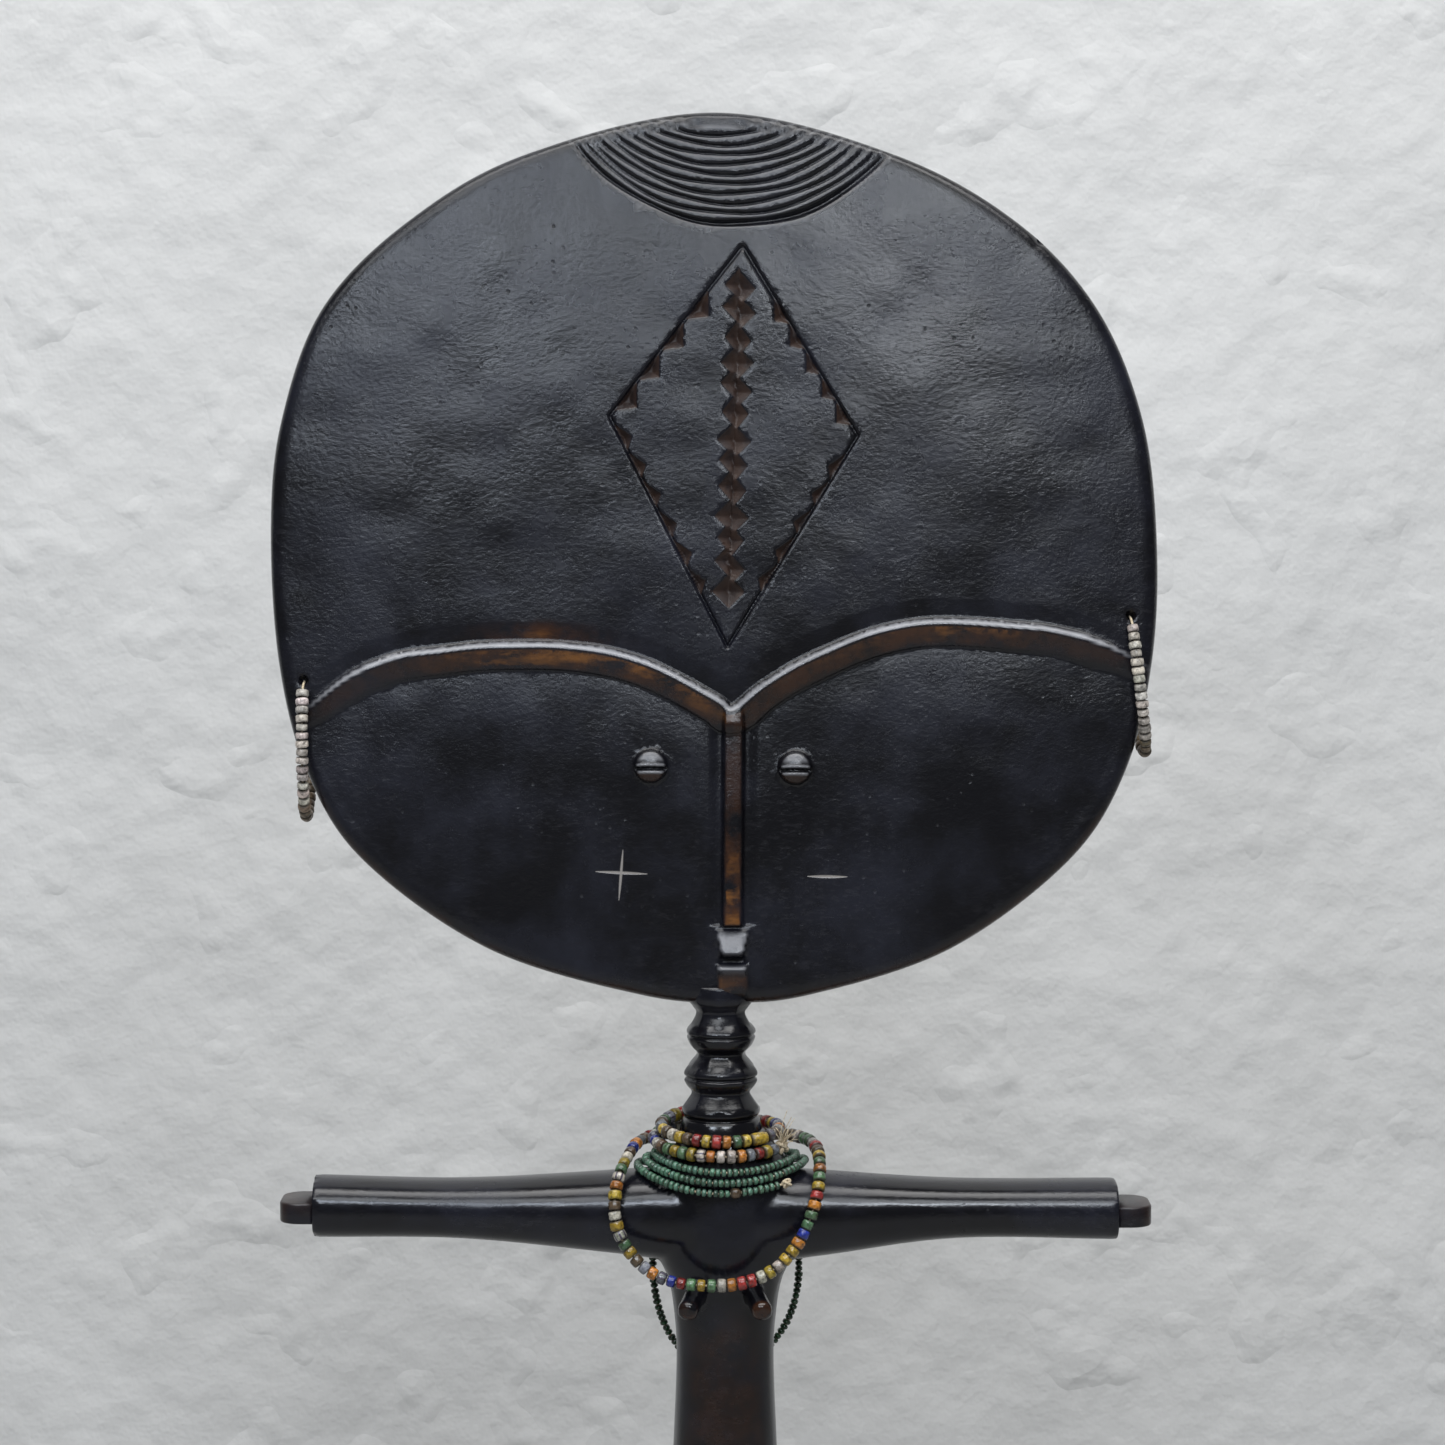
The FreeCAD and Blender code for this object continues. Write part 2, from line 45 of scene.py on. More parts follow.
def meshPiece(name, verts, faces, material, smooth=True):
    mesh = bpy.data.meshes.new(name)
    mesh.from_pydata([tuple(v) for v in verts], [], faces)
    mesh.validate()
    mesh.polygons.foreach_set("use_smooth", [smooth] * len(mesh.polygons))
    mesh.materials.append(material)
    piece = bpy.data.objects.new(name, mesh)
    scene.collection.objects.link(piece)
    return piece


def tubeFaces(rings, around):
    # quads between rings of equal points, and a cap at each end
    faces = []
    for k in range(rings - 1):
        a, b = k * around, (k + 1) * around
        faces += [(a + i, a + (i + 1) % around, b + (i + 1) % around, b + i) for i in range(around)]
    last = (rings - 1) * around
    return faces + [tuple(range(around))[::-1], tuple(range(last, last + around))]


def bake(piece):
    # the evaluated shape becomes the piece's own plain mesh
    evaluated = piece.evaluated_get(bpy.context.evaluated_depsgraph_get())
    mesh = bpy.data.meshes.new_from_object(evaluated)
    old = piece.data
    piece.modifiers.clear()
    piece.data = mesh
    bpy.data.meshes.remove(old)
    return piece


def vertexArray(mesh):
    flat = np.empty(len(mesh.vertices) * 3)
    mesh.vertices.foreach_get("co", flat)
    return flat.reshape(-1, 3)


def paint(mesh, name, values):
    # one number for each vertex, read by the material
    layer = mesh.attributes.new(name, "FLOAT", "POINT")
    layer.data.foreach_set("value", np.asarray(values, dtype=np.float32))


def smoothstep(low, high, x):
    t = np.clip((x - low) / (high - low), 0, 1)
    return t * t * (3 - 2 * t)


def cloudy(x, y, size, seed):
    # soft random hills, about -1 to 1, over a plane
    rng = np.random.RandomState(seed)
    grid = rng.uniform(-1, 1, (256, 256))
    gx, gy = x / size + 128, y / size + 128
    ix, iy = np.floor(gx).astype(int), np.floor(gy).astype(int)
    fx, fy = gx - ix, gy - iy
    fx, fy = fx * fx * (3 - 2 * fx), fy * fy * (3 - 2 * fy)
    a, b = grid[ix % 256, iy % 256], grid[(ix + 1) % 256, iy % 256]
    c, d = grid[ix % 256, (iy + 1) % 256], grid[(ix + 1) % 256, (iy + 1) % 256]
    return (a * (1 - fx) + b * fx) * (1 - fy) + (c * (1 - fx) + d * fx) * fy


def smoothPath(points, steps=12, closed=False):
    # a curve through the points, finely divided
    p = np.array(points, dtype=float)
    n = len(p)
    out = []
    spans = n if closed else n - 1
    for i in range(spans):
        if closed:
            a, b, c, d = p[i - 1], p[i], p[(i + 1) % n], p[(i + 2) % n]
        else:
            b, c = p[i], p[i + 1]
            a = p[i - 1] if i else 2 * b - c
            d = p[i + 2] if i + 2 < n else 2 * c - b
        for k in range(steps):
            t = k / steps
            out.append(0.5 * ((2 * b) + (c - a) * t + (2 * a - 5 * b + 4 * c - d) * t ** 2
                              + (3 * b - a - 3 * c + d) * t ** 3))
    if not closed:
        out.append(p[-1])
    return np.array(out)


def distanceTo(path, x, y):
    # nearest distance to a chain of short straight pieces
    best = np.full(x.shape, 1e9)
    for i in range(len(path) - 1):
        (ax, ay), (bx, by) = path[i], path[i + 1]
        ux, uy = bx - ax, by - ay
        t = np.clip(((x - ax) * ux + (y - ay) * uy) / (ux * ux + uy * uy), 0, 1)
        best = np.minimum(best, np.hypot(x - ax - t * ux, y - ay - t * uy))
    return best


def newGroup(name, inputs, outputs):
    tree = bpy.data.node_groups.new(name, "ShaderNodeTree")
    for label, kind, value in inputs:
        socket = tree.interface.new_socket(label, in_out="INPUT", socket_type=kind)
        if value is not None:
            socket.default_value = value
    for label, kind in outputs:
        tree.interface.new_socket(label, in_out="OUTPUT", socket_type=kind)
    return tree, tree.nodes.new("NodeGroupInput"), tree.nodes.new("NodeGroupOutput")


def addNode(tree, kind, settings=None, **values):
    node = tree.nodes.new(kind)
    for key, value in (settings or {}).items():
        setattr(node, key, value)
    for key, value in values.items():
        if isinstance(value, bpy.types.NodeSocket):
            tree.links.new(value, node.inputs[key.replace("_", " ")])
        else:
            node.inputs[key.replace("_", " ")].default_value = value
    return node


def calc(tree, operation, first, second=0.0, clamp=False):
    node = tree.nodes.new("ShaderNodeMath")
    node.operation = operation
    node.use_clamp = clamp
    for i, value in enumerate((first, second)):
        if isinstance(value, bpy.types.NodeSocket):
            tree.links.new(value, node.inputs[i])
        else:
            node.inputs[i].default_value = value
    return node.outputs[0]


def mixColour(tree, factor, first, second, blend="MIX"):
    node = tree.nodes.new("ShaderNodeMix")
    node.data_type = "RGBA"
    node.blend_type = blend
    for socket, value in ((node.inputs[0], factor), (node.inputs[6], first), (node.inputs[7], second)):
        if isinstance(value, bpy.types.NodeSocket):
            tree.links.new(value, socket)
        else:
            socket.default_value = value
    return node.outputs[2]


def spread(tree, value, fromLow, fromHigh, toLow=0.0, toHigh=1.0):
    node = addNode(tree, "ShaderNodeMapRange", {"clamp": True}, From_Min=fromLow, From_Max=fromHigh,
                   To_Min=toLow, To_Max=toHigh)
    tree.links.new(value, node.inputs["Value"])
    return node.outputs["Result"]


def noiseOf(tree, vector, scale, detail=3.0, rough=0.5, stretch=None, turn=(0, 0, 0)):
    if stretch:
        place = addNode(tree, "ShaderNodeMapping", Vector=vector, Scale=stretch, Rotation=turn)
        vector = place.outputs[0]
    return addNode(tree, "ShaderNodeTexNoise", Vector=vector, Scale=scale, Detail=detail,
                   Roughness=rough).outputs["Fac"]


def handlingWear():
    # cloudy polish, scuffs, fine scratches that run mostly across, and pits, for the carved black wood
    tree, given, result = newGroup("handlingWear", [
        ("Vector", "NodeSocketVector", None), ("Cloud Scale", "NodeSocketFloat", 60.0)],
        [("Cloud", "NodeSocketFloat"), ("Scuffs", "NodeSocketFloat"), ("Pits", "NodeSocketFloat"),
         ("Height", "NodeSocketFloat")])
    place = given.outputs["Vector"]
    cloud = addNode(tree, "ShaderNodeTexNoise", Vector=place, Detail=6.0, Roughness=0.62)
    tree.links.new(given.outputs["Cloud Scale"], cloud.inputs["Scale"])
    lines = None
    for turn, stretch, scale in ((0.35, 0.34, 1700.0), (-0.75, 0.36, 1500.0), (1.2, 0.36, 1300.0)):
        thread = noiseOf(tree, place, scale, 2.0, 0.5, (stretch, 1, 1), (0, turn, 0))
        sharp = spread(tree, thread, 0.60, 0.70)
        lines = sharp if lines is None else calc(tree, "MAXIMUM", lines, sharp)
    patches = spread(tree, noiseOf(tree, place, 38.0, 4.0, 0.6), 0.44, 0.60)
    scuffs = calc(tree, "MULTIPLY", lines, patches)
    dots = addNode(tree, "ShaderNodeTexVoronoi", Vector=place, Scale=520.0)
    pits = calc(tree, "MULTIPLY", spread(tree, dots.outputs["Distance"], 0.20, 0.07),
                spread(tree, noiseOf(tree, place, 80.0, 2.0), 0.54, 0.66))
    skin = noiseOf(tree, place, 1250.0, 4.0, 0.65, (0.85, 1, 1), (0, 0.3, 0))
    waves = noiseOf(tree, place, 260.0, 3.0, 0.5, (0.8, 1, 1), (0, 0.2, 0))
    height = calc(tree, "ADD", calc(tree, "MULTIPLY", skin, 1.0), calc(tree, "MULTIPLY", waves, 0.35))
    height = calc(tree, "SUBTRACT", height, calc(tree, "MULTIPLY", scuffs, 0.12))
    height = calc(tree, "SUBTRACT", height, calc(tree, "MULTIPLY", pits, 0.6))
    for label, value in (("Cloud", cloud.outputs["Fac"]), ("Scuffs", scuffs), ("Pits", pits),
                         ("Height", height)):
        tree.links.new(value, result.inputs[label])
    return tree


def scratchLine():
    # a thin knife line between two places, as a mask seen from the front
    tree, given, result = newGroup("scratchLine", [
        ("Vector", "NodeSocketVector", None), ("From", "NodeSocketVector", None),
        ("To", "NodeSocketVector", None), ("Width", "NodeSocketFloat", 0.0004)],
        [("Mask", "NodeSocketFloat")])

    def combine(operation, first, second):
        node = tree.nodes.new("ShaderNodeVectorMath")
        node.operation = operation
        for socket, value in zip(node.inputs, (first, second)):
            if isinstance(value, bpy.types.NodeSocket):
                tree.links.new(value, socket)
            else:
                socket.default_value = value
        return node

    def fromStart(label):
        # seen from the front, so without depth
        reach = combine("SUBTRACT", given.outputs[label], given.outputs["From"])
        return combine("MULTIPLY", reach.outputs[0], (1, 0, 1))

    here, run = fromStart("Vector"), fromStart("To")
    share = calc(tree, "DIVIDE", combine("DOT_PRODUCT", here.outputs[0], run.outputs[0]).outputs["Value"],
                 combine("DOT_PRODUCT", run.outputs[0], run.outputs[0]).outputs["Value"], True)
    nearest = tree.nodes.new("ShaderNodeVectorMath")
    nearest.operation = "SCALE"
    tree.links.new(run.outputs[0], nearest.inputs[0])
    tree.links.new(share, nearest.inputs["Scale"])
    away = combine("DISTANCE", here.outputs[0], nearest.outputs[0]).outputs["Value"]
    # thin at both ends, widest in the middle
    taper = calc(tree, "MULTIPLY", calc(tree, "MULTIPLY", share, calc(tree, "SUBTRACT", 1.0, share)), 3.2)
    width = calc(tree, "MULTIPLY", given.outputs["Width"], calc(tree, "ADD", taper, 0.25))
    mask = calc(tree, "SUBTRACT", 1.0, calc(tree, "DIVIDE", away, width), True)
    # only on the front: the back of the disc has no marks
    parts = addNode(tree, "ShaderNodeSeparateXYZ", Vector=given.outputs["Vector"])
    front = calc(tree, "LESS_THAN", parts.outputs["Y"], 0.0)
    tree.links.new(calc(tree, "MULTIPLY", spread(tree, mask, 0.0, 0.55), front), result.inputs["Mask"])
    return tree


def newMaterial(name):
    material = bpy.data.materials.new(name)
    material.use_nodes = True
    tree = material.node_tree
    return material, tree, tree.nodes["Principled BSDF"]


def readNumber(tree, name):
    return addNode(tree, "ShaderNodeAttribute", {"attribute_name": name}).outputs["Fac"]


def objectPlace(tree):
    return tree.nodes.new("ShaderNodeTexCoord").outputs["Object"]


wearGroup, lineGroup = handlingWear(), scratchLine()
woodLook = {
    "black": (0.0030, 0.0028, 0.0040, 1), "blueSheen": (0.0085, 0.0090, 0.0150, 1),
    "scuff": (0.045, 0.044, 0.050, 1), "rust": (0.050, 0.0185, 0.0065, 1),
    "amber": (0.21, 0.083, 0.018, 1), "raw": (0.034, 0.018, 0.0125, 1),
    # scratch is the colour of the knife cuts; edge is the pale grey of the painted highlights
    "scratch": (0.24, 0.22, 0.205, 1), "edge": (0.26, 0.26, 0.275, 1),
}


def blackWood(name, polish, dull, cloudScale, relief, marks=()):
    look = woodLook
    material, tree, shader = newMaterial(name)
    place = objectPlace(tree)
    wear = tree.nodes.new("ShaderNodeGroup")
    wear.node_tree = wearGroup
    tree.links.new(place, wear.inputs["Vector"])
    wear.inputs["Cloud Scale"].default_value = cloudScale
    cloud = wear.outputs["Cloud"]
    colour = mixColour(tree, spread(tree, cloud, 0.42, 0.68), look["black"], look["blueSheen"])
    colour = mixColour(tree, calc(tree, "MULTIPLY", wear.outputs["Scuffs"], 0.14), colour, look["scuff"])
    patchy = spread(tree, noiseOf(tree, place, 160.0, 5.0, 0.65), 0.36, 0.60)
    worn = calc(tree, "MULTIPLY", readNumber(tree, "worn"), patchy)
    colour = mixColour(tree, worn, colour, look["rust"])
    deep = calc(tree, "MULTIPLY", spread(tree, readNumber(tree, "worn"), 0.60, 1.0),
                spread(tree, noiseOf(tree, place, 300.0, 5.0, 0.65, (0.4, 1, 1)), 0.46, 0.68))
    colour = mixColour(tree, deep, colour, look["amber"])
    grain = spread(tree, noiseOf(tree, place, 420.0, 4.0), 0.30, 0.60, 0.35, 1.0)
    bare = calc(tree, "MULTIPLY", readNumber(tree, "raw"), grain)
    colour = mixColour(tree, bare, colour, look["raw"])
    # painted highlight: a pale grey is mixed into the colour over the brow bevel, the eye tops, the lips and the arc
    # edges, and the roughness there is lowered
    shine = readNumber(tree, "shine")
    edge = calc(tree, "MULTIPLY", shine, spread(tree, cloud, 0.30, 0.55, 0.6, 1.0))
    colour = mixColour(tree, edge, colour, look["edge"])
    cut = None
    for start, end, width in marks:
        line = tree.nodes.new("ShaderNodeGroup")
        line.node_tree = lineGroup
        tree.links.new(place, line.inputs["Vector"])
        line.inputs["From"].default_value = start
        line.inputs["To"].default_value = end
        line.inputs["Width"].default_value = width
        cut = line.outputs[0] if cut is None else calc(tree, "MAXIMUM", cut, line.outputs[0])
    height = wear.outputs["Height"]
    if cut is not None:
        colour = mixColour(tree, cut, colour, look["scratch"])
        height = calc(tree, "SUBTRACT", height, cut)
    tree.links.new(colour, shader.inputs["Base Color"])
    rough = spread(tree, cloud, 0.36, 0.66, polish, dull)
    rough = calc(tree, "ADD", rough, calc(tree, "MULTIPLY", readNumber(tree, "raw"), 0.30), clamp=True)
    rough = calc(tree, "ADD", rough, calc(tree, "MULTIPLY", wear.outputs["Pits"], 0.2), clamp=True)
    rough = calc(tree, "SUBTRACT", rough, calc(tree, "MULTIPLY", shine, 0.12), clamp=True)
    tree.links.new(rough, shader.inputs["Roughness"])
    shader.inputs["IOR"].default_value = 1.41
    bump = addNode(tree, "ShaderNodeBump", Strength=relief, Distance=0.00022, Height=height)
    tree.links.new(bump.outputs[0], shader.inputs["Normal"])
    return material


def beadGlass(name, rough, grimeAndShade):
    # opaque and milky glass beads: colour per bead, stripes along some of them, painted shade on their ends and in
    # their hole, and specks of dirt
    material, tree, shader = newMaterial(name)
    place = objectPlace(tree)
    wrap = addNode(tree, "ShaderNodeUVMap", {"uv_map": "beadWrap"}).outputs[0]
    parts = addNode(tree, "ShaderNodeSeparateXYZ", Vector=wrap)
    tint = addNode(tree, "ShaderNodeAttribute", {"attribute_name": "tint"}).outputs["Color"]
    wave = calc(tree, "SINE", calc(tree, "MULTIPLY", parts.outputs["X"], 2 * math.pi * 7))
    lines = calc(tree, "MULTIPLY", spread(tree, wave, 0.35, 0.7), readNumber(tree, "striped"))
    colour = mixColour(tree, lines, tint, (0.07, 0.055, 0.085, 1))
    mottled = spread(tree, noiseOf(tree, place, 1400.0, 4.0, 0.65), 0.34, 0.66, 0.32, 1.16)
    colour = mixColour(tree, 1.0, colour, mottledColour(tree, mottled), "MULTIPLY")
    middle = calc(tree, "ABSOLUTE", calc(tree, "SUBTRACT", parts.outputs["Y"], 0.5))
    # painted shade: the ends and the hole of each bead are darkened, and dirt specks are mixed in with the same dark
    # colour
    endShade = spread(tree, middle, 0.15, 0.27)
    specks = spread(tree, noiseOf(tree, place, 1100.0, 5.0, 0.7), 0.56, 0.66)
    dirtAndShade = calc(tree, "MULTIPLY", calc(tree, "MAXIMUM", endShade, specks), grimeAndShade)
    colour = mixColour(tree, dirtAndShade, colour, (0.028, 0.021, 0.014, 1))
    tree.links.new(colour, shader.inputs["Base Color"])
    dull = calc(tree, "ADD", calc(tree, "MULTIPLY", dirtAndShade, 0.4), rough, clamp=True)
    tree.links.new(dull, shader.inputs["Roughness"])
    dimples = noiseOf(tree, place, 2000.0, 2.0)
    bump = addNode(tree, "ShaderNodeBump", Strength=0.5, Distance=0.0002, Height=dimples)
    tree.links.new(bump.outputs[0], shader.inputs["Normal"])
    return material


def mottledColour(tree, value):
    node = tree.nodes.new("ShaderNodeCombineColor")
    for socket in node.inputs[:3]:
        tree.links.new(value, socket)
    return node.outputs[0]


def cottonThread():
    material, tree, shader = newMaterial("cottonThread")
    place = objectPlace(tree)
    strands = noiseOf(tree, place, 3000.0, 3.0, 0.6)
    colour = mixColour(tree, spread(tree, strands, 0.35, 0.65), (0.28, 0.21, 0.13, 1), (0.62, 0.53, 0.38, 1))
    tree.links.new(colour, shader.inputs["Base Color"])
    tree.links.new(spread(tree, strands, 0.3, 0.7, 0.75, 0.95), shader.inputs["Roughness"])
    bump = addNode(tree, "ShaderNodeBump", Strength=0.5, Distance=0.0002, Height=strands)
    tree.links.new(bump.outputs[0], shader.inputs["Normal"])
    return material


cotton = cottonThread()
tradeGlass = beadGlass("tradeGlass", 0.13, 0.88)
seedGlass = beadGlass("seedGlass", 0.16, 0.75)
hoopGlass = beadGlass("hoopGlass", 0.34, 0.80)
bodyWood = blackWood("bodyWood", 0.15, 0.25, 70.0, 0.13)
print("materials made")


head = {
    "chin": 209.0, "lean": 4.0, "middle": -1.9, "halfWidth": 75.4, "height": 151.4,
    "rim": 4.5, "crown": 2.2, "edgeRound": 2.2,
    "holes": {"left": (-71.5, 54.9), "right": (68.8, 65.9)}, "holeRadius": 0.8,
    "around": 1000, "across": 300, "triangles": 192000,
}
headOutline = [
    (0.00, 1.000), (0.40, 0.954), (0.678, 0.879), (0.863, 0.781), (0.967, 0.656), (1.00, 0.517),
    (0.989, 0.383), (0.928, 0.259), (0.80, 0.159), (0.532, 0.060), (0.219, 0.009), (0.03, 0.000),
    (-0.168, 0.009), (-0.507, 0.060), (-0.790, 0.159), (-0.918, 0.259), (-0.982, 0.383), (-1.00, 0.536),
    (-0.975, 0.656), (-0.882, 0.781), (-0.687, 0.879), (-0.419, 0.954),
]
browTop = smoothPath([
    (-72.5, 49.0), (-70.1, 50.8), (-64.4, 55.3), (-57.8, 58.3), (-50.2, 59.8), (-40.0, 60.8), (-29.8, 60.8),
    (-22.1, 60.2), (-14.5, 58.3), (-7.8, 55.3), (-1.0, 51.4), (1.4, 50.0), (6.2, 54.0), (14.0, 58.5),
    (21.8, 61.9), (29.6, 64.2), (37.4, 64.9), (47.8, 64.3), (58.2, 63.0), (64.5, 60.9), (69.7, 58.4),
    (72.5, 56.6)], 4)


def headPolar():
    # distance of the outline from the middle of the disc, for every direction
    rim = smoothPath([(head["halfWidth"] * a, head["height"] * (b - 0.5)) for a, b in headOutline], 24, True)
    turn = np.arctan2(rim[:, 1], rim[:, 0])
    order = np.argsort(turn)
    turn, reach = turn[order], np.hypot(rim[:, 0], rim[:, 1])[order]
    return (np.concatenate([turn - 2 * np.pi, turn, turn + 2 * np.pi]), np.concatenate([reach] * 3))


polarTurn, polarReach = headPolar()


def rimDistance(x, v):
    px, pv = x - head["middle"], v - head["height"] / 2
    reach = np.interp(np.arctan2(pv, px), polarTurn, polarReach)
    nick = 0.5 * np.exp(-((x - 53.6) ** 2 + (v - 129.6) ** 2) / 0.8)
    return reach - nick - np.hypot(px, pv)


def discHeight(x, v):
    # half thickness of the bare disc, rounded off at its rim
    off = np.hypot(x - head["middle"], v - head["height"] / 2) / head["halfWidth"]
    full = head["rim"] + head["crown"] * np.clip(1 - off ** 2, 0, 1)
    into = np.clip(1 - rimDistance(x, v) / head["edgeRound"], 0, 1)
    return full - head["edgeRound"] * (1 - np.sqrt(np.clip(1 - into ** 2, 0, 1)))


def onHead(x, v):
    # from the upright head to the leaned one
    a = math.radians(head["lean"])
    return (x * mm, v * math.sin(a) * mm, (v * math.cos(a) + head["chin"]) * mm)


def insideOf(x, v, a, b, c):
    # distance inside the edge that runs from a to b, on the side where c lies
    nx, nv = b[1] - a[1], a[0] - b[0]
    size = math.hypot(nx, nv)
    side = 1 if (c[0] - a[0]) * nx + (c[1] - a[1]) * nv > 0 else -1
    return side * ((x - a[0]) * nx + (v - a[1]) * nv) / size


carving = {
    "browRise": 1.10, "browBand": 4.3, "noseX": 1.35, "noseTop": 50.0, "noseEnd": 13.4, "noseRise": 1.5,
    "eyes": ((-12.6, 40.4), (11.9, 40.1)), "eyeRadius": 2.9, "eyeRise": 2.0,
    "diamond": {"left": (-19.5, 99.6), "top": (3.0, 128.4), "right": (22.4, 96.3), "bottom": (0.4, 60.6)},
    "chipDepth": 1.55, "columnPits": 13, "pitDepth": 1.60, "arcs": 11, "arcPitch": 1.66, "arcDepth": 0.85,
    # from, to, line width
    "marks": ((-21.9, 22.9, -13.2, 22.5, 0.30), (-17.3, 26.6, -18.0, 18.0, 0.28),
              (14.0, 22.1, 20.7, 22.0, 0.30)),
}
headWood = blackWood("headWood", 0.21, 0.31, 55.0, 0.34,
                     [(onHead(ax, av), onHead(bx, bv), w * mm) for ax, av, bx, bv, w in carving["marks"]])


def crownArcs(x, v):
    # nested shallow arcs hanging from the top of the rim, with a band of painted highlight just below each cut
    cut, lip = np.zeros(x.shape), np.zeros(x.shape)
    for k in range(carving["arcs"]):
        drop = 19.2 - k * carving["arcPitch"]
        half = 27.5 * math.sqrt(drop / 19.2)
        sag = drop * 0.76
        radius = (half ** 2 + sag ** 2) / (2 * sag)
        cx = head["middle"] + 3.6 - 0.25 * k
        cv = head["height"] - drop + radius
        wobble = 0.16 * np.sin(x * 0.35 + k * 2.1)
        outside = np.hypot(x - cx, v - cv) - radius + wobble
        width = 0.40 if k else 0.48 + 0.42 * smoothstep(-15, 12, x)
        deep = carving["arcDepth"] * (1.4 if k == 0 else 1)
        cut = np.maximum(cut, deep * np.clip(1 - np.abs(outside) / width, 0, 1) * (v < cv))
        # painted highlight: a narrow band along the outer side of each cut
        lip = np.maximum(lip, np.exp(-((outside - width - 0.10) / 0.20) ** 2) * (v < cv))
    return cut, lip


def holePits(x, v):
    # the mouths of the two holes that the hoops hang in
    cut, r = np.zeros(x.shape), head["holeRadius"]
    for hx, hv in head["holes"].values():
        cut = np.maximum(cut, 1.8 * smoothstep(r + 0.15, r - 0.3, np.hypot(x - hx, v - hv)))
    return cut


def carve(x, v):
    # how far the front stands out from the bare disc, where it is worn, raw or scratched, and where a highlight is
    # painted
    c = carving
    rise = 0.16 * cloudy(x, v, 15.0, 3) + 0.07 * cloudy(x, v, 5.5, 4)
    worn, raw = np.zeros(x.shape), np.zeros(x.shape)

    # brow: a shallow groove, a bevel with a painted highlight along its top, a worn face that looks down, and a step to
    # the scooped cheeks
    off = distanceTo(browTop, x, v)
    topHere = np.interp(x, browTop[:, 0], browTop[:, 1])
    below = np.where(v < topHere, off, -off) + 0.12 * cloudy(x, v * 0, 6.0, 9)
    fade = smoothstep(-73.5, -60, x) * smoothstep(73.0, 60, x)
    band = c["browBand"] * (0.62 + 0.38 * fade)
    part = np.clip(below / band, -9, 9)
    ridge = np.interp(part, [-0.9, -0.24, -0.20, 0.0, 0.09, 0.16, 0.92, 1.0],
                      [0, -0.24, -0.22, 0.84, 1.0, 0.95, -0.12, -0.72])
    # painted highlight: a thin pale line along the top of the bevel, fainter towards the ends
    shine = 0.9 * smoothstep(-0.11, -0.05, part) * smoothstep(0.11, 0.05, part) * (0.25 + 0.75 * fade)
    cheek = -0.72 * np.exp(-(below - band) / 7.5)
    rise += c["browRise"] * (0.35 + 0.65 * fade) * np.where(part > 1.0, cheek, ridge)
    onBand = smoothstep(0.12, 0.22, part) * smoothstep(1.0, 0.75, part)
    amount = np.interp(x, [-70, -55, -40, -12, -2, 6, 25, 40, 55, 70],
                       [0.2, 0.5, 1.0, 1.0, 0.8, 0.6, 0.75, 0.95, 0.5, 0.2])
    worn = np.maximum(worn, onBand * amount * (1.15 - 0.55 * part))
    halo = np.exp(-((x + 31) / 9) ** 2) * smoothstep(-1.1, -0.5, part) * smoothstep(-0.12, -0.3, part)
    worn = np.maximum(worn, 0.75 * halo)

    # nose: a thin straight bridge with steep sides, worn at its end
    side = np.abs(x - c["noseX"] - 0.006 * (v - 30))
    top, end = c["noseTop"], c["noseEnd"]
    upDown = smoothstep(end - 0.3, end + 0.2, v) * smoothstep(top + 0.5, top - 3.0, v)
    bridge = smoothstep(1.85, 1.35, side) * upDown
    flank = (smoothstep(4.6, 2.2, side) - smoothstep(2.1, 1.7, side)) * upDown
    rise += c["noseRise"] * bridge - 0.45 * flank
    # no painted highlight where the nose bridge crosses the brow
    shine *= 1 - 0.85 * bridge
    length = np.interp(v, [13, 17, 24, 36, 50], [1.0, 1.0, 0.75, 0.35, 0.40])
    worn = np.maximum(worn, bridge * length * smoothstep(1.5, 1.1, side))

    # mouth: an upper lip that slopes forward and narrows, a dark slot, a lower lip and a small chin, with a painted
    # highlight on the upper lip and on the top of the lower lip
    mx = np.abs(x - c["noseX"] + 0.1)
    lipHalf = np.interp(v, [7.8, 12.6], [1.75, 2.9])
    lip = np.interp(v, [7.9, 8.25, 8.8, 12.5, 12.8], [0, 2.2, 2.35, 0.35, 0])
    rise += lip * smoothstep(lipHalf + 0.15, lipHalf - 0.25, mx)
    upper = smoothstep(8.5, 9.2, v) * smoothstep(12.3, 11.6, v)
    # painted highlight on the upper lip, and in a thin line at the top of the lower lip
    shine = np.maximum(shine, 0.55 * smoothstep(lipHalf, lipHalf - 0.4, mx) * upper)
    shine = np.maximum(shine, 0.6 * smoothstep(2.6, 2.3, mx) * np.exp(-((v - 6.15) / 0.28) ** 2))
    chin = np.interp(v, [0.4, 1.4, 4.6, 5.9, 6.5, 6.75], [0, 0.9, 1.25, 2.1, 1.5, 0])
    rise += chin * smoothstep(2.65, 2.2, mx)
    rise -= 0.6 * smoothstep(2.4, 2.0, mx) * smoothstep(6.6, 6.9, v) * smoothstep(8.2, 7.8, v)
    chinFace = smoothstep(2.6, 2.2, mx) * smoothstep(5.4, 4.4, v) * smoothstep(0.2, 1.2, v)
    worn = np.maximum(worn, 0.7 * chinFace)

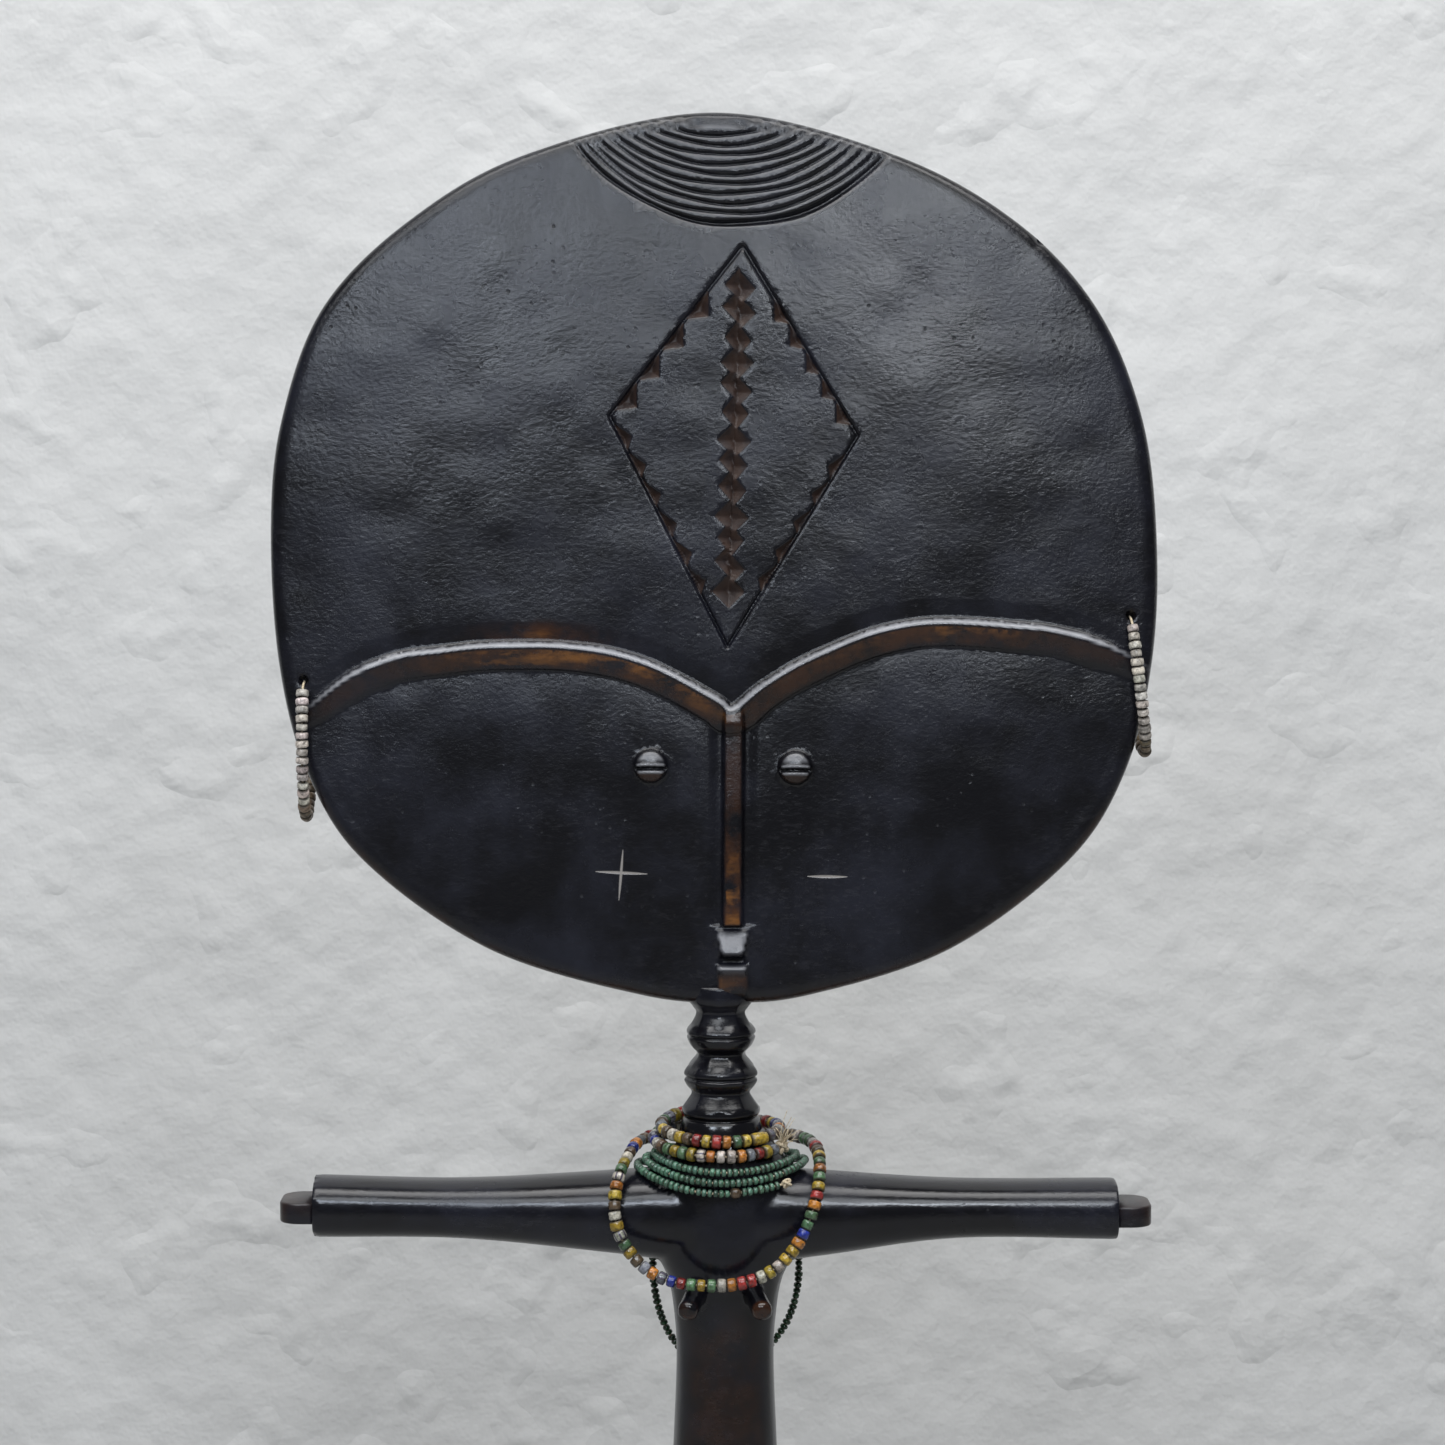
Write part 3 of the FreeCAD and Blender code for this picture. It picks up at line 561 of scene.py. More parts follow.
    # eyes: small domes with a level slit between two thin lids, with a painted highlight on the upper part of each dome
    # and on the lids
    for ex, ev in c["eyes"]:
        r = np.hypot(x - ex, v - ev)
        dv = v - ev + 0.35 + 0.05 * (x - ex) ** 2 * 0.35
        dome = c["eyeRise"] * np.sqrt(np.clip(1 - (r / c["eyeRadius"]) ** 2, 0, 1)) ** 0.8
        inEye = smoothstep(c["eyeRadius"] - 0.1, c["eyeRadius"] - 0.5, r)
        slit = smoothstep(0.42, 0.24, np.abs(dv)) * inEye
        lids = np.exp(-((np.abs(dv) - 0.62) / 0.2) ** 2) * inEye
        inner = smoothstep(c["eyeRadius"] - 0.35, c["eyeRadius"] - 0.8, r)
        shine = np.maximum(shine, inner * np.maximum(0.60 * smoothstep(0.6, 1.5, v - ev), lids))
        rise += dome - 1.0 * slit + 0.26 * lids
        worn = np.maximum(worn, 0.5 * smoothstep(-0.9, -1.5, v - ev) * inEye)

    # diamond on the forehead: a cut border, stepped notches inside it and a column of pits
    near = (np.abs(x - 1.5) < 26) & (np.abs(v - 94) < 38)
    nx, nv = x[near], v[near]
    d = c["diamond"]
    edge = distanceTo([d["top"], d["right"], d["bottom"], d["left"], d["top"]], nx, nv)
    cut = 0.80 * np.clip(1 - edge / 0.42, 0, 1)
    chips = np.zeros(nx.shape)
    # one side at a time: its ends, how many notches, and where they start and stop along it
    for start, end, count, first, last in (
            ("left", "top", 4, 0.03, 0.74), ("right", "top", 5, 0.05, 0.72),
            ("left", "bottom", 6, 0.03, 0.78), ("right", "bottom", 5, 0.08, 0.74)):
        (ax, av), (bx, bv) = d[start], d[end]
        for k in range(count):
            t0 = first + (last - first) * (k + 0.02) / count
            t1 = first + (last - first) * (k + 0.97 + 0.05 * math.sin(5 * k)) / count
            p0, p1 = (ax + t0 * (bx - ax), av + t0 * (bv - av)), (ax + t1 * (bx - ax), av + t1 * (bv - av))
            if end == "top":
                inner = (p1[0], p0[1] + 0.45)
            else:
                reach = math.hypot(p1[0] - p0[0], p1[1] - p0[1])
                inner = (p0[0] + (0.60 if start == "left" else -0.60) * reach, p0[1] - 0.42 * reach)
            sides = np.minimum(insideOf(nx, nv, p0, inner, p1), insideOf(nx, nv, inner, p1, p0))
            border = insideOf(nx, nv, p0, p1, inner)
            depth = np.clip(np.minimum(sides / 1.3 + 0.12, border / 0.35), 0, 1) * (sides > 0)
            chips = np.maximum(chips, c["chipDepth"] * depth)
    for k in range(c["columnPits"]):
        t = 0.097 + 0.0632 * k
        top, bottom = d["top"], d["bottom"]
        cx, cv = top[0] + t * (bottom[0] - top[0]) - 0.2, top[1] + t * (bottom[1] - top[1])
        wide = 2.45 + 0.35 * math.sin(k * 2.3)
        shift = np.where(nx < cx, 0.55 * math.sin(k * 1.9), -0.75 + 0.3 * math.sin(k * 2.7))
        pit = 1.04 - np.abs(nx - cx) / wide - np.abs(nv - cv - shift) / 2.75
        chips = np.maximum(chips, c["pitDepth"] * np.clip(pit + 0.08 * (pit > 0), 0, 1))
    rise[near] -= np.maximum(cut, chips)
    raw[near] = np.maximum(raw[near], smoothstep(0.05, 0.25, chips) * 0.95)

    arcCut, arcHighlight = crownArcs(x, v)
    rise -= arcCut
    shine = np.maximum(shine, 0.30 * arcHighlight)

    rise -= holePits(x, v)
    rimHere = rimDistance(x, v)
    lowLeft = smoothstep(40, 25, v) * smoothstep(1.5, 0.2, rimHere)
    worn = np.maximum(worn, 0.55 * lowLeft)
    calm = smoothstep(0.3, 2.4, rimHere)
    return rise * calm, worn, raw, shine


def makeHead():
    turns = np.linspace(0, 2 * np.pi, head["around"], endpoint=False)
    reach = np.interp(turns, polarTurn, polarReach)
    nearRim = 1 - np.array([0.028, 0.018, 0.010, 0.004, 0.0])
    frontIn = np.append(np.linspace(0.004, 0.962, head["across"]), nearRim)
    backIn = frontIn[::-6]
    rings = [(s, "front") for s in frontIn] + [(s, "back") for s in backIn]
    verts, n = [], head["around"]
    for s, face in rings:
        x = head["middle"] + reach * s * np.cos(turns)
        v = head["height"] / 2 + reach * s * np.sin(turns)
        half = discHeight(x, v)
        if face == "front":
            y = -(half + carve(x, v)[0])
        else:
            swell = 0.22 * cloudy(x, v, 13.0, 21) * smoothstep(0.2, 3.0, rimDistance(x, v))
            y = half + swell - holePits(x, v)
        verts.append(np.stack([x, y, v], 1))
    points = np.concatenate(verts)
    piece = meshPiece("headDisc", points * mm, tubeFaces(len(rings), n), headWood)
    thin = piece.modifiers.new("thin", "DECIMATE")
    thin.ratio = head["triangles"] / (2 * n * len(rings))
    bake(piece)
    points = vertexArray(piece.data) / mm
    front = points[:, 1] < 0
    # the wear, bare-wood and painted-highlight masks, on the front only
    _, worn, raw, shine = carve(points[:, 0], points[:, 2])
    for name, values in (("worn", worn), ("raw", raw), ("shine", shine)):
        paint(piece.data, name, np.where(front, values, 0))
    # lean it back on the neck
    a = math.radians(-head["lean"])
    y = points[:, 1] * math.cos(a) - points[:, 2] * math.sin(a)
    z = points[:, 1] * math.sin(a) + points[:, 2] * math.cos(a) + head["chin"]
    piece.data.vertices.foreach_set("co", (np.stack([points[:, 0], y, z], 1) * mm).ravel())
    piece.data.update()
    return piece


headDisc = makeHead()
print("head carved:", len(headDisc.data.polygons), "faces")


def loft(name, rings, material):
    # closed tube through rings that all have as many points
    return meshPiece(name, np.concatenate(rings) * mm, tubeFaces(len(rings), len(rings[0])), material)


neck = {"middle": -0.7, "around": 96, "facets": 9, "facetDepth": 0.30,
        "profile": [(5.6, 212.0), (5.7, 209.6), (4.9, 208.3), (4.3, 207.2), (5.0, 205.6), (5.95, 204.3), (6.05, 203.7),
                    (5.75, 203.3), (6.0, 202.8), (5.4, 201.5), (4.25, 200.1), (5.1, 198.8), (6.2, 197.3), (6.32, 196.6),
                    (5.95, 196.1), (6.3, 195.6), (5.8, 194.6), (5.0, 193.5), (5.7, 192.2), (6.6, 190.9), (6.75, 189.9),
                    (6.3, 189.2), (6.75, 188.7), (7.1, 187.6), (7.35, 186.2), (7.6, 184.5)]}


def makeNeck():
    profile = smoothPath(neck["profile"][::-1], 5)
    turns = np.linspace(0, 2 * np.pi, neck["around"], endpoint=False)
    rings = []
    for r, z in profile:
        # knife facets run round each bead of the neck, a little different on each
        step = 2 * np.pi / neck["facets"]
        within = (turns + round(z / 7.2) * 0.37) % step - step / 2
        facet = neck["facetDepth"] * (np.cos(within) / math.cos(step / 2) - 1) * 9
        reach = r - facet + 0.06 * np.sin(turns * 2 + 0.3 * z)
        x, y = neck["middle"] + reach * np.cos(turns), reach * np.sin(turns)
        rings.append(np.stack([x, y, np.full(len(turns), z)], 1))
    return loft("neckRings", rings, bodyWood)


body = {
    "trunk": [(187.0, 7.1, 7.1), (184.0, 8.8, 8.2), (180.5, 12.0, 9.0), (176.0, 14.2, 9.3), (170.0, 14.0, 9.4),
              (165.0, 11.6, 9.3), (161.0, 9.8, 8.9), (156.0, 8.9, 8.5), (148.0, 8.4, 8.2), (132.0, 9.0, 8.8),
              (105.0, 10.3, 10.0), (75.0, 11.9, 11.6), (45.0, 13.9, 13.7), (18.0, 16.8, 16.8), (5.0, 19.5, 19.5)],
    "armAxis": 173.2, "armLeft": 70.4, "armRight": 67.2, "armDepth": 6.6,
    "handLength": 5.8, "handThickness": 3.6, "handHalfWidth": 5.4,
    "footRadius": 28.0, "footHeight": 7.0, "footRound": 2.0, "breastRadius": 1.8, "breastLength": 8.0,
    "voxel": 0.55, "smoothing": 3,
}


def oval(centre, u, v, a, b, n=64, square=2.0):
    # a closed ring; square above 2 flattens its sides
    t = np.linspace(0, 2 * np.pi, n, endpoint=False)
    c, s = np.cos(t), np.sin(t)
    cs, ss = np.sign(c) * np.abs(c) ** (2 / square), np.sign(s) * np.abs(s) ** (2 / square)
    return np.array(centre) + np.outer(cs * a, u) + np.outer(ss * b, v)


def makeBody():
    b = body
    trunkPath = smoothPath(b["trunk"], 5)
    levels = [oval((0, 0, z), (1, 0, 0), (0, 1, 0), w, d) for z, w, d in trunkPath[::-1]]
    trunk = loft("trunkRough", levels, bodyWood)
    left, right, high = b["armLeft"], b["armRight"], b["armAxis"]
    stations = smoothPath([(-left, 0.4, 5.2, b["armDepth"]), (-0.64 * left, 0.0, 5.05, b["armDepth"]),
                           (-0.27 * left, -0.6, 7.0, 7.9), (0.0, -1.0, 8.8, 9.0), (0.25 * right, -0.8, 7.2, 7.9),
                           (0.59 * right, 0.0, 5.0, b["armDepth"]), (right, -0.1, 5.1, b["armDepth"])], 8)
    arms = loft("armsRough", [oval((x, 0, high + dz), (0, 1, 0), (0, 0, 1), deep, tall, square=2.3)
                              for x, dz, tall, deep in stations], bodyWood)
    roughs = [trunk, arms]
    for side in (-1, 1):
        root = np.array([side * 4.6, -7.2, 160.6])
        out = np.array([side * 0.24, -0.92, -0.30])
        out /= np.linalg.norm(out)
        across = np.cross(out, (0, 0, 1.0))
        across /= np.linalg.norm(across)
        up = np.cross(across, out)
        r, length = b["breastRadius"], b["breastLength"]
        steps = ((-2, 1.0), (0, 1.05), (0.5 * length, 1.0), (length - 0.7, 1.0), (length - 0.2, 0.85),
                 (length, 0.6))
        rings = [oval(root + out * d, across, up, r * k, r * k, 24) for d, k in steps]
        roughs.append(loft("breastRough", rings, bodyWood))
    wide, tall, bend = b["footRadius"], b["footHeight"], b["footRound"]
    foot = [(wide - 0.8, 0.0), (wide, 0.8), (wide, tall - bend), (wide - 0.6, tall - 0.6), (wide - bend, tall)]
    levels = [oval((0, 0, z), (1, 0, 0), (0, 1, 0), r, r, 96) for r, z in foot]
    roughs.append(loft("footRough", levels, bodyWood))
    return joinCarving("bodyAndArms", roughs, b["voxel"], b["smoothing"])


def makeHand(name, side, reach, high):
    # a flat tab that sticks out of the end of the arm, rounded at its corners
    b = body
    w, t, n = b["handHalfWidth"], b["handThickness"] / 2, b["handLength"]
    corner = 0.6 * w
    plan = [(reach - 2, -w), (reach + n - corner, -w)]
    plan += [(reach + n - corner + corner * math.sin(a), -w + corner - corner * math.cos(a))
             for a in np.linspace(0.15, math.pi / 2, 9)]
    plan += [(x, -y) for x, y in plan[::-1]]
    rings = []
    for z, inset in ((-t, 0.35), (-t + 0.1, 0.1), (-t + 0.35, 0), (t - 0.35, 0), (t - 0.1, 0.1), (t, 0.35)):
        rings.append(np.array([(side * (x - inset), y * (1 - inset / w), high + z) for x, y in plan[::side]]))
    hand = loft(name, rings, bodyWood)
    p = vertexArray(hand.data) / mm
    paint(hand.data, "worn", 0.45 * smoothstep(reach + n - 2.0, reach + n, np.abs(p[:, 0])))
    # the top face of the tab is painted lighter, in the bare-wood colour
    paint(hand.data, "raw", 0.35 * smoothstep(high + 0.2, high + t, p[:, 2]))
    return hand


def joinCarving(name, roughs, voxel, smoothing):
    # overlapping rough shapes become one skin, and the joins between them are softened like carved wood
    whole = bmesh.new()
    for rough in roughs:
        part = bmesh.new()
        part.from_mesh(rough.data)
        bmesh.ops.recalc_face_normals(part, faces=part.faces)
        part.to_mesh(rough.data)
        part.free()
        whole.from_mesh(rough.data)
        bpy.data.objects.remove(rough)
    mesh = bpy.data.meshes.new(name)
    whole.to_mesh(mesh)
    whole.free()
    piece = bpy.data.objects.new(name, mesh)
    scene.collection.objects.link(piece)
    mesh.materials.append(bodyWood)
    skin = piece.modifiers.new("skin", "REMESH")
    skin.mode = "VOXEL"
    skin.voxel_size = voxel * mm
    skin.use_smooth_shade = True
    soft = piece.modifiers.new("soft", "SMOOTH")
    soft.iterations = smoothing
    soft.factor = 0.5
    bake(piece)
    return piece


neckRings = makeNeck()
bodyAndArms = makeBody()
hands = [makeHand("leftHand", -1, body["armLeft"], body["armAxis"]),
         makeHand("rightHand", 1, body["armRight"], body["armAxis"] - 0.6)]


def wearBody(piece):
    # long shallow knife strokes along the trunk and arms, and worn ends
    p = vertexArray(piece.data) / mm
    normals = np.empty(len(piece.data.vertices) * 3)
    piece.data.vertices.foreach_get("normal", normals)
    normals = normals.reshape(-1, 3)
    upright = smoothstep(14, 20, np.abs(p[:, 0])) * (p[:, 2] > 160)
    along = 0.07 * cloudy(p[:, 0] + 2 * p[:, 1], p[:, 2] * 0.2, 4.4, 31)
    across = 0.022 * cloudy(p[:, 0] * 0.10, p[:, 2] + p[:, 1], 6.5, 32)
    strokes = along * (1 - upright) + across * upright
    low = smoothstep(0.0, 3.0, p[:, 2])
    p += normals * (strokes * low)[:, None]
    p[:, 2] = np.maximum(p[:, 2], 0.0)
    piece.data.vertices.foreach_set("co", (p * mm).ravel())
    breastTips = smoothstep(-13.4, -14.4, p[:, 1]) * (np.abs(p[:, 2] - 158.5) < 4)
    waist = 0.55 * smoothstep(160, 150, p[:, 2]) * smoothstep(60, 100, p[:, 2])
    waist *= smoothstep(-4.5, -7.0, p[:, 1])
    paint(piece.data, "worn", np.clip(0.6 * breastTips + 0.5 * waist, 0, 1))
    paint(piece.data, "raw", np.zeros(len(p)))
    piece.data.update()


wearBody(bodyAndArms)
for name in ("worn", "raw"):
    paint(neckRings.data, name, np.zeros(len(neckRings.data.vertices)))
print("body joined:", len(bodyAndArms.data.polygons), "faces")

for piece in [headDisc, neckRings, bodyAndArms] + hands:
    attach(piece, "figure")
    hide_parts("carved_figure")


threads = {"radius": 0.2, "knotLength": 2.2, "beadGap": 0.2}
frontLoopRoute = [
    (-0.3, 11.3, 184.0), (-4.4, 11.1, 184.1), (-8.8, 9.8, 184.3), (-12.7, 6.9, 184.4), (-15.2, 2.4, 184.2),
    (-16.4, -2.2, 183.0), (-17.9, -6.6, 180.9), (-18.8, -9.8, 177.0), (-18.5, -10.8, 172.3),
    (-16.4, -11.3, 168.1), (-13.0, -11.9, 164.7), (-8.7, -12.6, 163.0), (-3.4, -13.1, 162.6),
    (2.5, -13.1, 162.8), (7.6, -12.7, 164.6), (11.5, -11.9, 168.1), (14.1, -11.2, 172.7), (15.7, -9.9, 177.6),
    (16.2, -6.4, 181.5), (16.0, -2.0, 183.5), (15.0, 2.4, 184.3), (12.5, 6.9, 184.4), (8.4, 9.8, 184.3),
    (4.2, 11.1, 184.1), (0.3, 11.3, 184.0),
]
backLoopRoute = [
    (-0.3, 11.5, 176.1), (-3.9, 11.5, 175.8), (-7.3, 11.4, 174.3), (-10.2, 11.4, 171.6), (-12.1, 11.4, 167.6),
    (-12.7, 11.5, 163.0), (-12.6, 11.6, 158.0), (-11.8, 11.7, 153.1), (-10.2, 11.8, 148.8), (-7.7, 11.9, 145.2),
    (-4.3, 12.0, 142.7), (-0.2, 12.1, 141.9), (3.9, 12.0, 143.0), (7.4, 11.9, 145.5), (10.2, 11.8, 148.9),
    (12.1, 11.7, 153.1), (13.0, 11.6, 158.1), (12.9, 11.5, 163.0), (12.2, 11.4, 167.6), (10.3, 11.4, 171.6),
    (7.3, 11.4, 174.3), (3.9, 11.5, 175.8), (0.3, 11.5, 176.1),
]
collarWinding = {
    "anchors": [(-0.7, 8.9, 189.1), (-10.9, 0.0, 188.2), (-0.7, -8.9, 187.5), (8.7, 0.0, 188.8)],
    "steps": [(0.0, 0.7, -2.5), (-1.3, 0.0, -2.2), (0.0, -1.2, -2.3), (1.2, 0.0, -2.25)], "turns": 1.68,
}
greenWinding = {
    "anchors": [(-0.4, 11.2, 181.7), (-12.1, 0.0, 183.2), (-0.5, -11.6, 182.4), (11.5, 0.0, 183.3)],
    "steps": [(0.0, 0.0, -1.87), (-1.55, 0.0, -0.92), (0.0, 0.0, -1.87), (1.55, 0.0, -0.9)], "turns": 2.62,
}


def wound(winding):
    # points of a winding round the neck: at the nape, the left, the throat and the right, moving each turn
    route = []
    count = round(winding["turns"] * 12)
    for k in range(count + 1):
        turn = winding["turns"] * k / count
        back, left, front, right = [np.array(a) + np.array(s) * turn
                                    for a, s in zip(winding["anchors"], winding["steps"])]
        c, s = math.cos(2 * math.pi * turn), math.sin(2 * math.pi * turn)
        middle = (back + left + front + right) / 4
        twist = (back + front - left - right) / 4
        route.append(middle + (back - front) * (c / 2) + (left - right) * (s / 2) + twist * (c * c - s * s))
    return route


hoops = {"height": 23.2, "clearance": 0.5, "beadRadius": 1.12, "splay": {"left": 0.0, "right": 2.9}}


def hoopRoute(side):
    # through the rim hole, down in front of the disc, round under its edge and up behind it
    low = hoops["height"]
    depth = head["rim"] + head["crown"] * 0.2 + hoops["clearance"] + hoops["beadRadius"]
    mouth = head["rim"] + 1.0
    front = [(0.0, mouth, 0.0), (0.12, 1.06 * depth, -3.9), (0.3, 1.1 * depth, -8.2), (0.5, 1.07 * depth, -0.55 * low),
             (0.7, 0.95 * depth, -0.73 * low), (0.87, 0.68 * depth, -0.89 * low), (1.0, 0.27 * depth, -low)]
    before = [(s, -d, z) for s, d, z in front]
    points = [front[1], front[0]] + before + front[:1:-1] + [(0.13, 1.06 * depth, -4.3)]
    x, v = head["holes"][side]
    outward = -1 if side == "left" else 1
    a = math.radians(-head["lean"])
    route = []
    for s, y, z in points:
        z += v
        route.append((x + outward * hoops["splay"][side] * s, y * math.cos(a) - z * math.sin(a),
                      y * math.sin(a) + z * math.cos(a) + head["chin"]))
    return route


def threadPiece(name, route):
    curve = bpy.data.curves.new(name, "CURVE")
    curve.dimensions = "3D"
    curve.resolution_u = 8
    spline = curve.splines.new("NURBS")
    spline.points.add(len(route) - 1)
    for point, place in zip(spline.points, route):
        point.co = (place[0] * mm, place[1] * mm, place[2] * mm, 1)
    spline.order_u = 3
    spline.use_endpoint_u = True
    piece = bpy.data.objects.new(name, curve)
    scene.collection.objects.link(piece)
    bpy.context.view_layer.update()
    # read the bare line before the thread gets its thickness
    bare = bpy.data.meshes.new_from_object(piece.evaluated_get(bpy.context.evaluated_depsgraph_get()))
    line = vertexArray(bare).copy()
    bpy.data.meshes.remove(bare)
    curve.bevel_depth = threads["radius"] * mm
    curve.bevel_resolution = 2
    curve.use_fill_caps = True
    curve.materials.append(cotton)
    return piece, line


def alongLine(line, distance):
    # place and direction at a distance along a line
    steps = np.linalg.norm(np.diff(line, axis=0), axis=1)
    total = np.concatenate([[0], np.cumsum(steps)])
    distance = min(max(distance, 0), total[-1] - 1e-9)
    i = min(int(np.searchsorted(total, distance, side="right")) - 1, len(steps) - 1)
    t = (distance - total[i]) / steps[i]
    return line[i] * (1 - t) + line[i + 1] * t, (line[i + 1] - line[i]) / steps[i]


def lineLength(line):
    return float(np.linalg.norm(np.diff(line, axis=0), axis=1).sum())


def beadShape(name, bore, segments, profile):
    # a holed barrel, one unit in radius and in half length, with a wrap map for its stripes
    verts, faces, wraps = [], [], []
    ring = [(bore, -profile[-1][1])] + [(r, z) for r, z in profile] + [(bore, profile[-1][1])]
    m = len(ring)
    for k in range(segments):
        a = 2 * math.pi * k / segments
        verts += [(r * math.cos(a), r * math.sin(a), z) for r, z in ring]
    for k in range(segments):
        for j in range(m):
            a, b = k * m + j, ((k + 1) % segments) * m + j
            a2, b2 = k * m + (j + 1) % m, ((k + 1) % segments) * m + (j + 1) % m
            faces.append((a, b, b2, a2))
            u, u2, w, w2 = k / segments, (k + 1) / segments, j / m, (j + 1) / m
            wraps += [(u, w), (u2, w), (u2, w2), (u, w2)]
    piece = meshPiece(name, np.array(verts), faces, tradeGlass)
    layer = piece.data.uv_layers.new(name="beadWrap")
    layer.data.foreach_set("uv", np.array(wraps, dtype=np.float32).ravel())
    return piece


def stringTree():
    # sets a bead on every point, faced along the thread, with its own girth, roll and tilt
    tree = bpy.data.node_groups.new("beadString", "GeometryNodeTree")
    tree.interface.new_socket("Geometry", in_out="INPUT", socket_type="NodeSocketGeometry")
    sockets = {}
    for label, kind, value in (
            ("Bead Shape", "NodeSocketObject", None), ("Girth Spread", "NodeSocketFloat", 0.08),
            ("Tilt", "NodeSocketFloat", 0.06), ("Seed", "NodeSocketInt", 1),
            ("Finish", "NodeSocketMaterial", None)):
        sockets[label] = tree.interface.new_socket(label, in_out="INPUT", socket_type=kind)
        if value is not None:
            sockets[label].default_value = value
    tree.interface.new_socket("Geometry", in_out="OUTPUT", socket_type="NodeSocketGeometry")
    given, result = tree.nodes.new("NodeGroupInput"), tree.nodes.new("NodeGroupOutput")
    vector = {"data_type": "FLOAT_VECTOR"}
    heading = addNode(tree, "GeometryNodeInputNamedAttribute", vector, Name="heading")
    size = addNode(tree, "GeometryNodeInputNamedAttribute", vector, Name="size")
    faced = addNode(tree, "FunctionNodeAlignRotationToVector", {"axis": "Z"},
                    Vector=heading.outputs["Attribute"])

    # a free roll about the thread, and a small tilt off it
    tilt, seed = given.outputs["Tilt"], given.outputs["Seed"]
    back = calc(tree, "MULTIPLY", tilt, -1.0)
    low = addNode(tree, "ShaderNodeCombineXYZ", X=back, Y=back)
    high = addNode(tree, "ShaderNodeCombineXYZ", X=tilt, Y=tilt, Z=6.283)
    roll = addNode(tree, "FunctionNodeRandomValue", vector,
                   Min=low.outputs[0], Max=high.outputs[0], Seed=seed)
    turn = tree.nodes.new("FunctionNodeEulerToRotation")
    tree.links.new(roll.outputs["Value"], turn.inputs[0])
    turned = addNode(tree, "FunctionNodeRotateRotation", {"rotation_space": "LOCAL"},
                     Rotation=faced.outputs[0], Rotate_By=turn.outputs[0])

    # girth: this random node's sockets for a plain number are its third and fourth
    girth = addNode(tree, "FunctionNodeRandomValue", {"data_type": "FLOAT"}, Seed=seed)
    tree.links.new(calc(tree, "SUBTRACT", 1.0, given.outputs["Girth Spread"]), girth.inputs[2])
    girth.inputs[3].default_value = 1.0
    scaled = addNode(tree, "ShaderNodeVectorMath", {"operation": "SCALE"}, Scale=girth.outputs[1])
    tree.links.new(size.outputs["Attribute"], scaled.inputs[0])

    shape = addNode(tree, "GeometryNodeObjectInfo", Object=given.outputs["Bead Shape"])
    put = addNode(tree, "GeometryNodeInstanceOnPoints", Points=given.outputs["Geometry"],
                  Instance=shape.outputs["Geometry"], Rotation=turned.outputs[0], Scale=scaled.outputs[0])
    real = addNode(tree, "GeometryNodeRealizeInstances", Geometry=put.outputs[0])
    finish = addNode(tree, "GeometryNodeSetMaterial",
                     Geometry=real.outputs[0], Material=given.outputs["Finish"])
    tree.links.new(finish.outputs[0], result.inputs[0])
    return tree, {label: socket.identifier for label, socket in sockets.items()}


beadTree, beadSockets = stringTree()
mixedBead = beadShape("mixedBead", 0.36, 14, [(0.60, -1.0), (0.90, -0.88), (1.0, -0.50), (1.0, 0.50),
                                              (0.90, 0.88), (0.60, 1.0)])
seedBead = beadShape("seedBead", 0.42, 10, [(0.66, -1.0), (1.0, -0.5), (1.0, 0.5), (0.66, 1.0)])


def beadPiece(name, beads, shape, material, seed, girthSpread, tilt):
    # beads: (place, direction, radius, half length, tint, striped) for each
    mesh = bpy.data.meshes.new(name)
    mesh.from_pydata([tuple(b[0]) for b in beads], [], [])
    for label, kind, key, values in (
            ("heading", "FLOAT_VECTOR", "vector", [b[1] for b in beads]),
            ("tint", "FLOAT_COLOR", "color", [b[4] for b in beads]),
            ("striped", "FLOAT", "value", [b[5] for b in beads]),
            ("size", "FLOAT_VECTOR", "vector", [(b[2] * mm, b[2] * mm, b[3] * mm) for b in beads])):
        layer = mesh.attributes.new(label, kind, "POINT")
        layer.data.foreach_set(key, np.array(values, dtype=np.float32).ravel())
    piece = bpy.data.objects.new(name, mesh)
    scene.collection.objects.link(piece)
    strung = piece.modifiers.new("strung", "NODES")
    strung.node_group = beadTree
    for label, value in (("Bead Shape", shape), ("Girth Spread", girthSpread), ("Tilt", tilt), ("Seed", seed),
                         ("Finish", material)):
        strung[beadSockets[label]] = value
    bake(piece)
    piece.data.polygons.foreach_set("use_smooth", [True] * len(piece.data.polygons))
    return piece


tints = {
    "white": (0.46, 0.42, 0.35), "red": (0.34, 0.036, 0.032), "brown": (0.105, 0.070, 0.043),
    "grey": (0.17, 0.175, 0.20), "orange": (0.46, 0.165, 0.030), "blue": (0.022, 0.036, 0.24),
    "yellow": (0.40, 0.275, 0.035), "green": (0.085, 0.165, 0.080),
    "seed": (0.080, 0.175, 0.115), "darkSeed": (0.018, 0.060, 0.022),
    "hoopWhite": (0.62, 0.56, 0.49), "hoopBrown": (0.27, 0.20, 0.13),
}
frontLoopColours = """white green yellow brown red blue yellow
    red brown grey orange blue brown white yellow green white orange yellow brown white yellow white green
    yellow brown grey orange grey blue red green yellow green white orange red red white yellow white yellow
    yellow orange blue green green orange red yellow green orange green yellow brown red white green green
    white brown brown orange white yellow grey""".split()
collarColours = """white orange grey red yellow grey green brown
    grey yellow grey white yellow brown red yellow red orange green yellow white white grey brown
    white orange grey blue yellow red white green yellow brown orange white blue red yellow white
    grey orange green white grey blue white brown green yellow green yellow white orange white""".split()

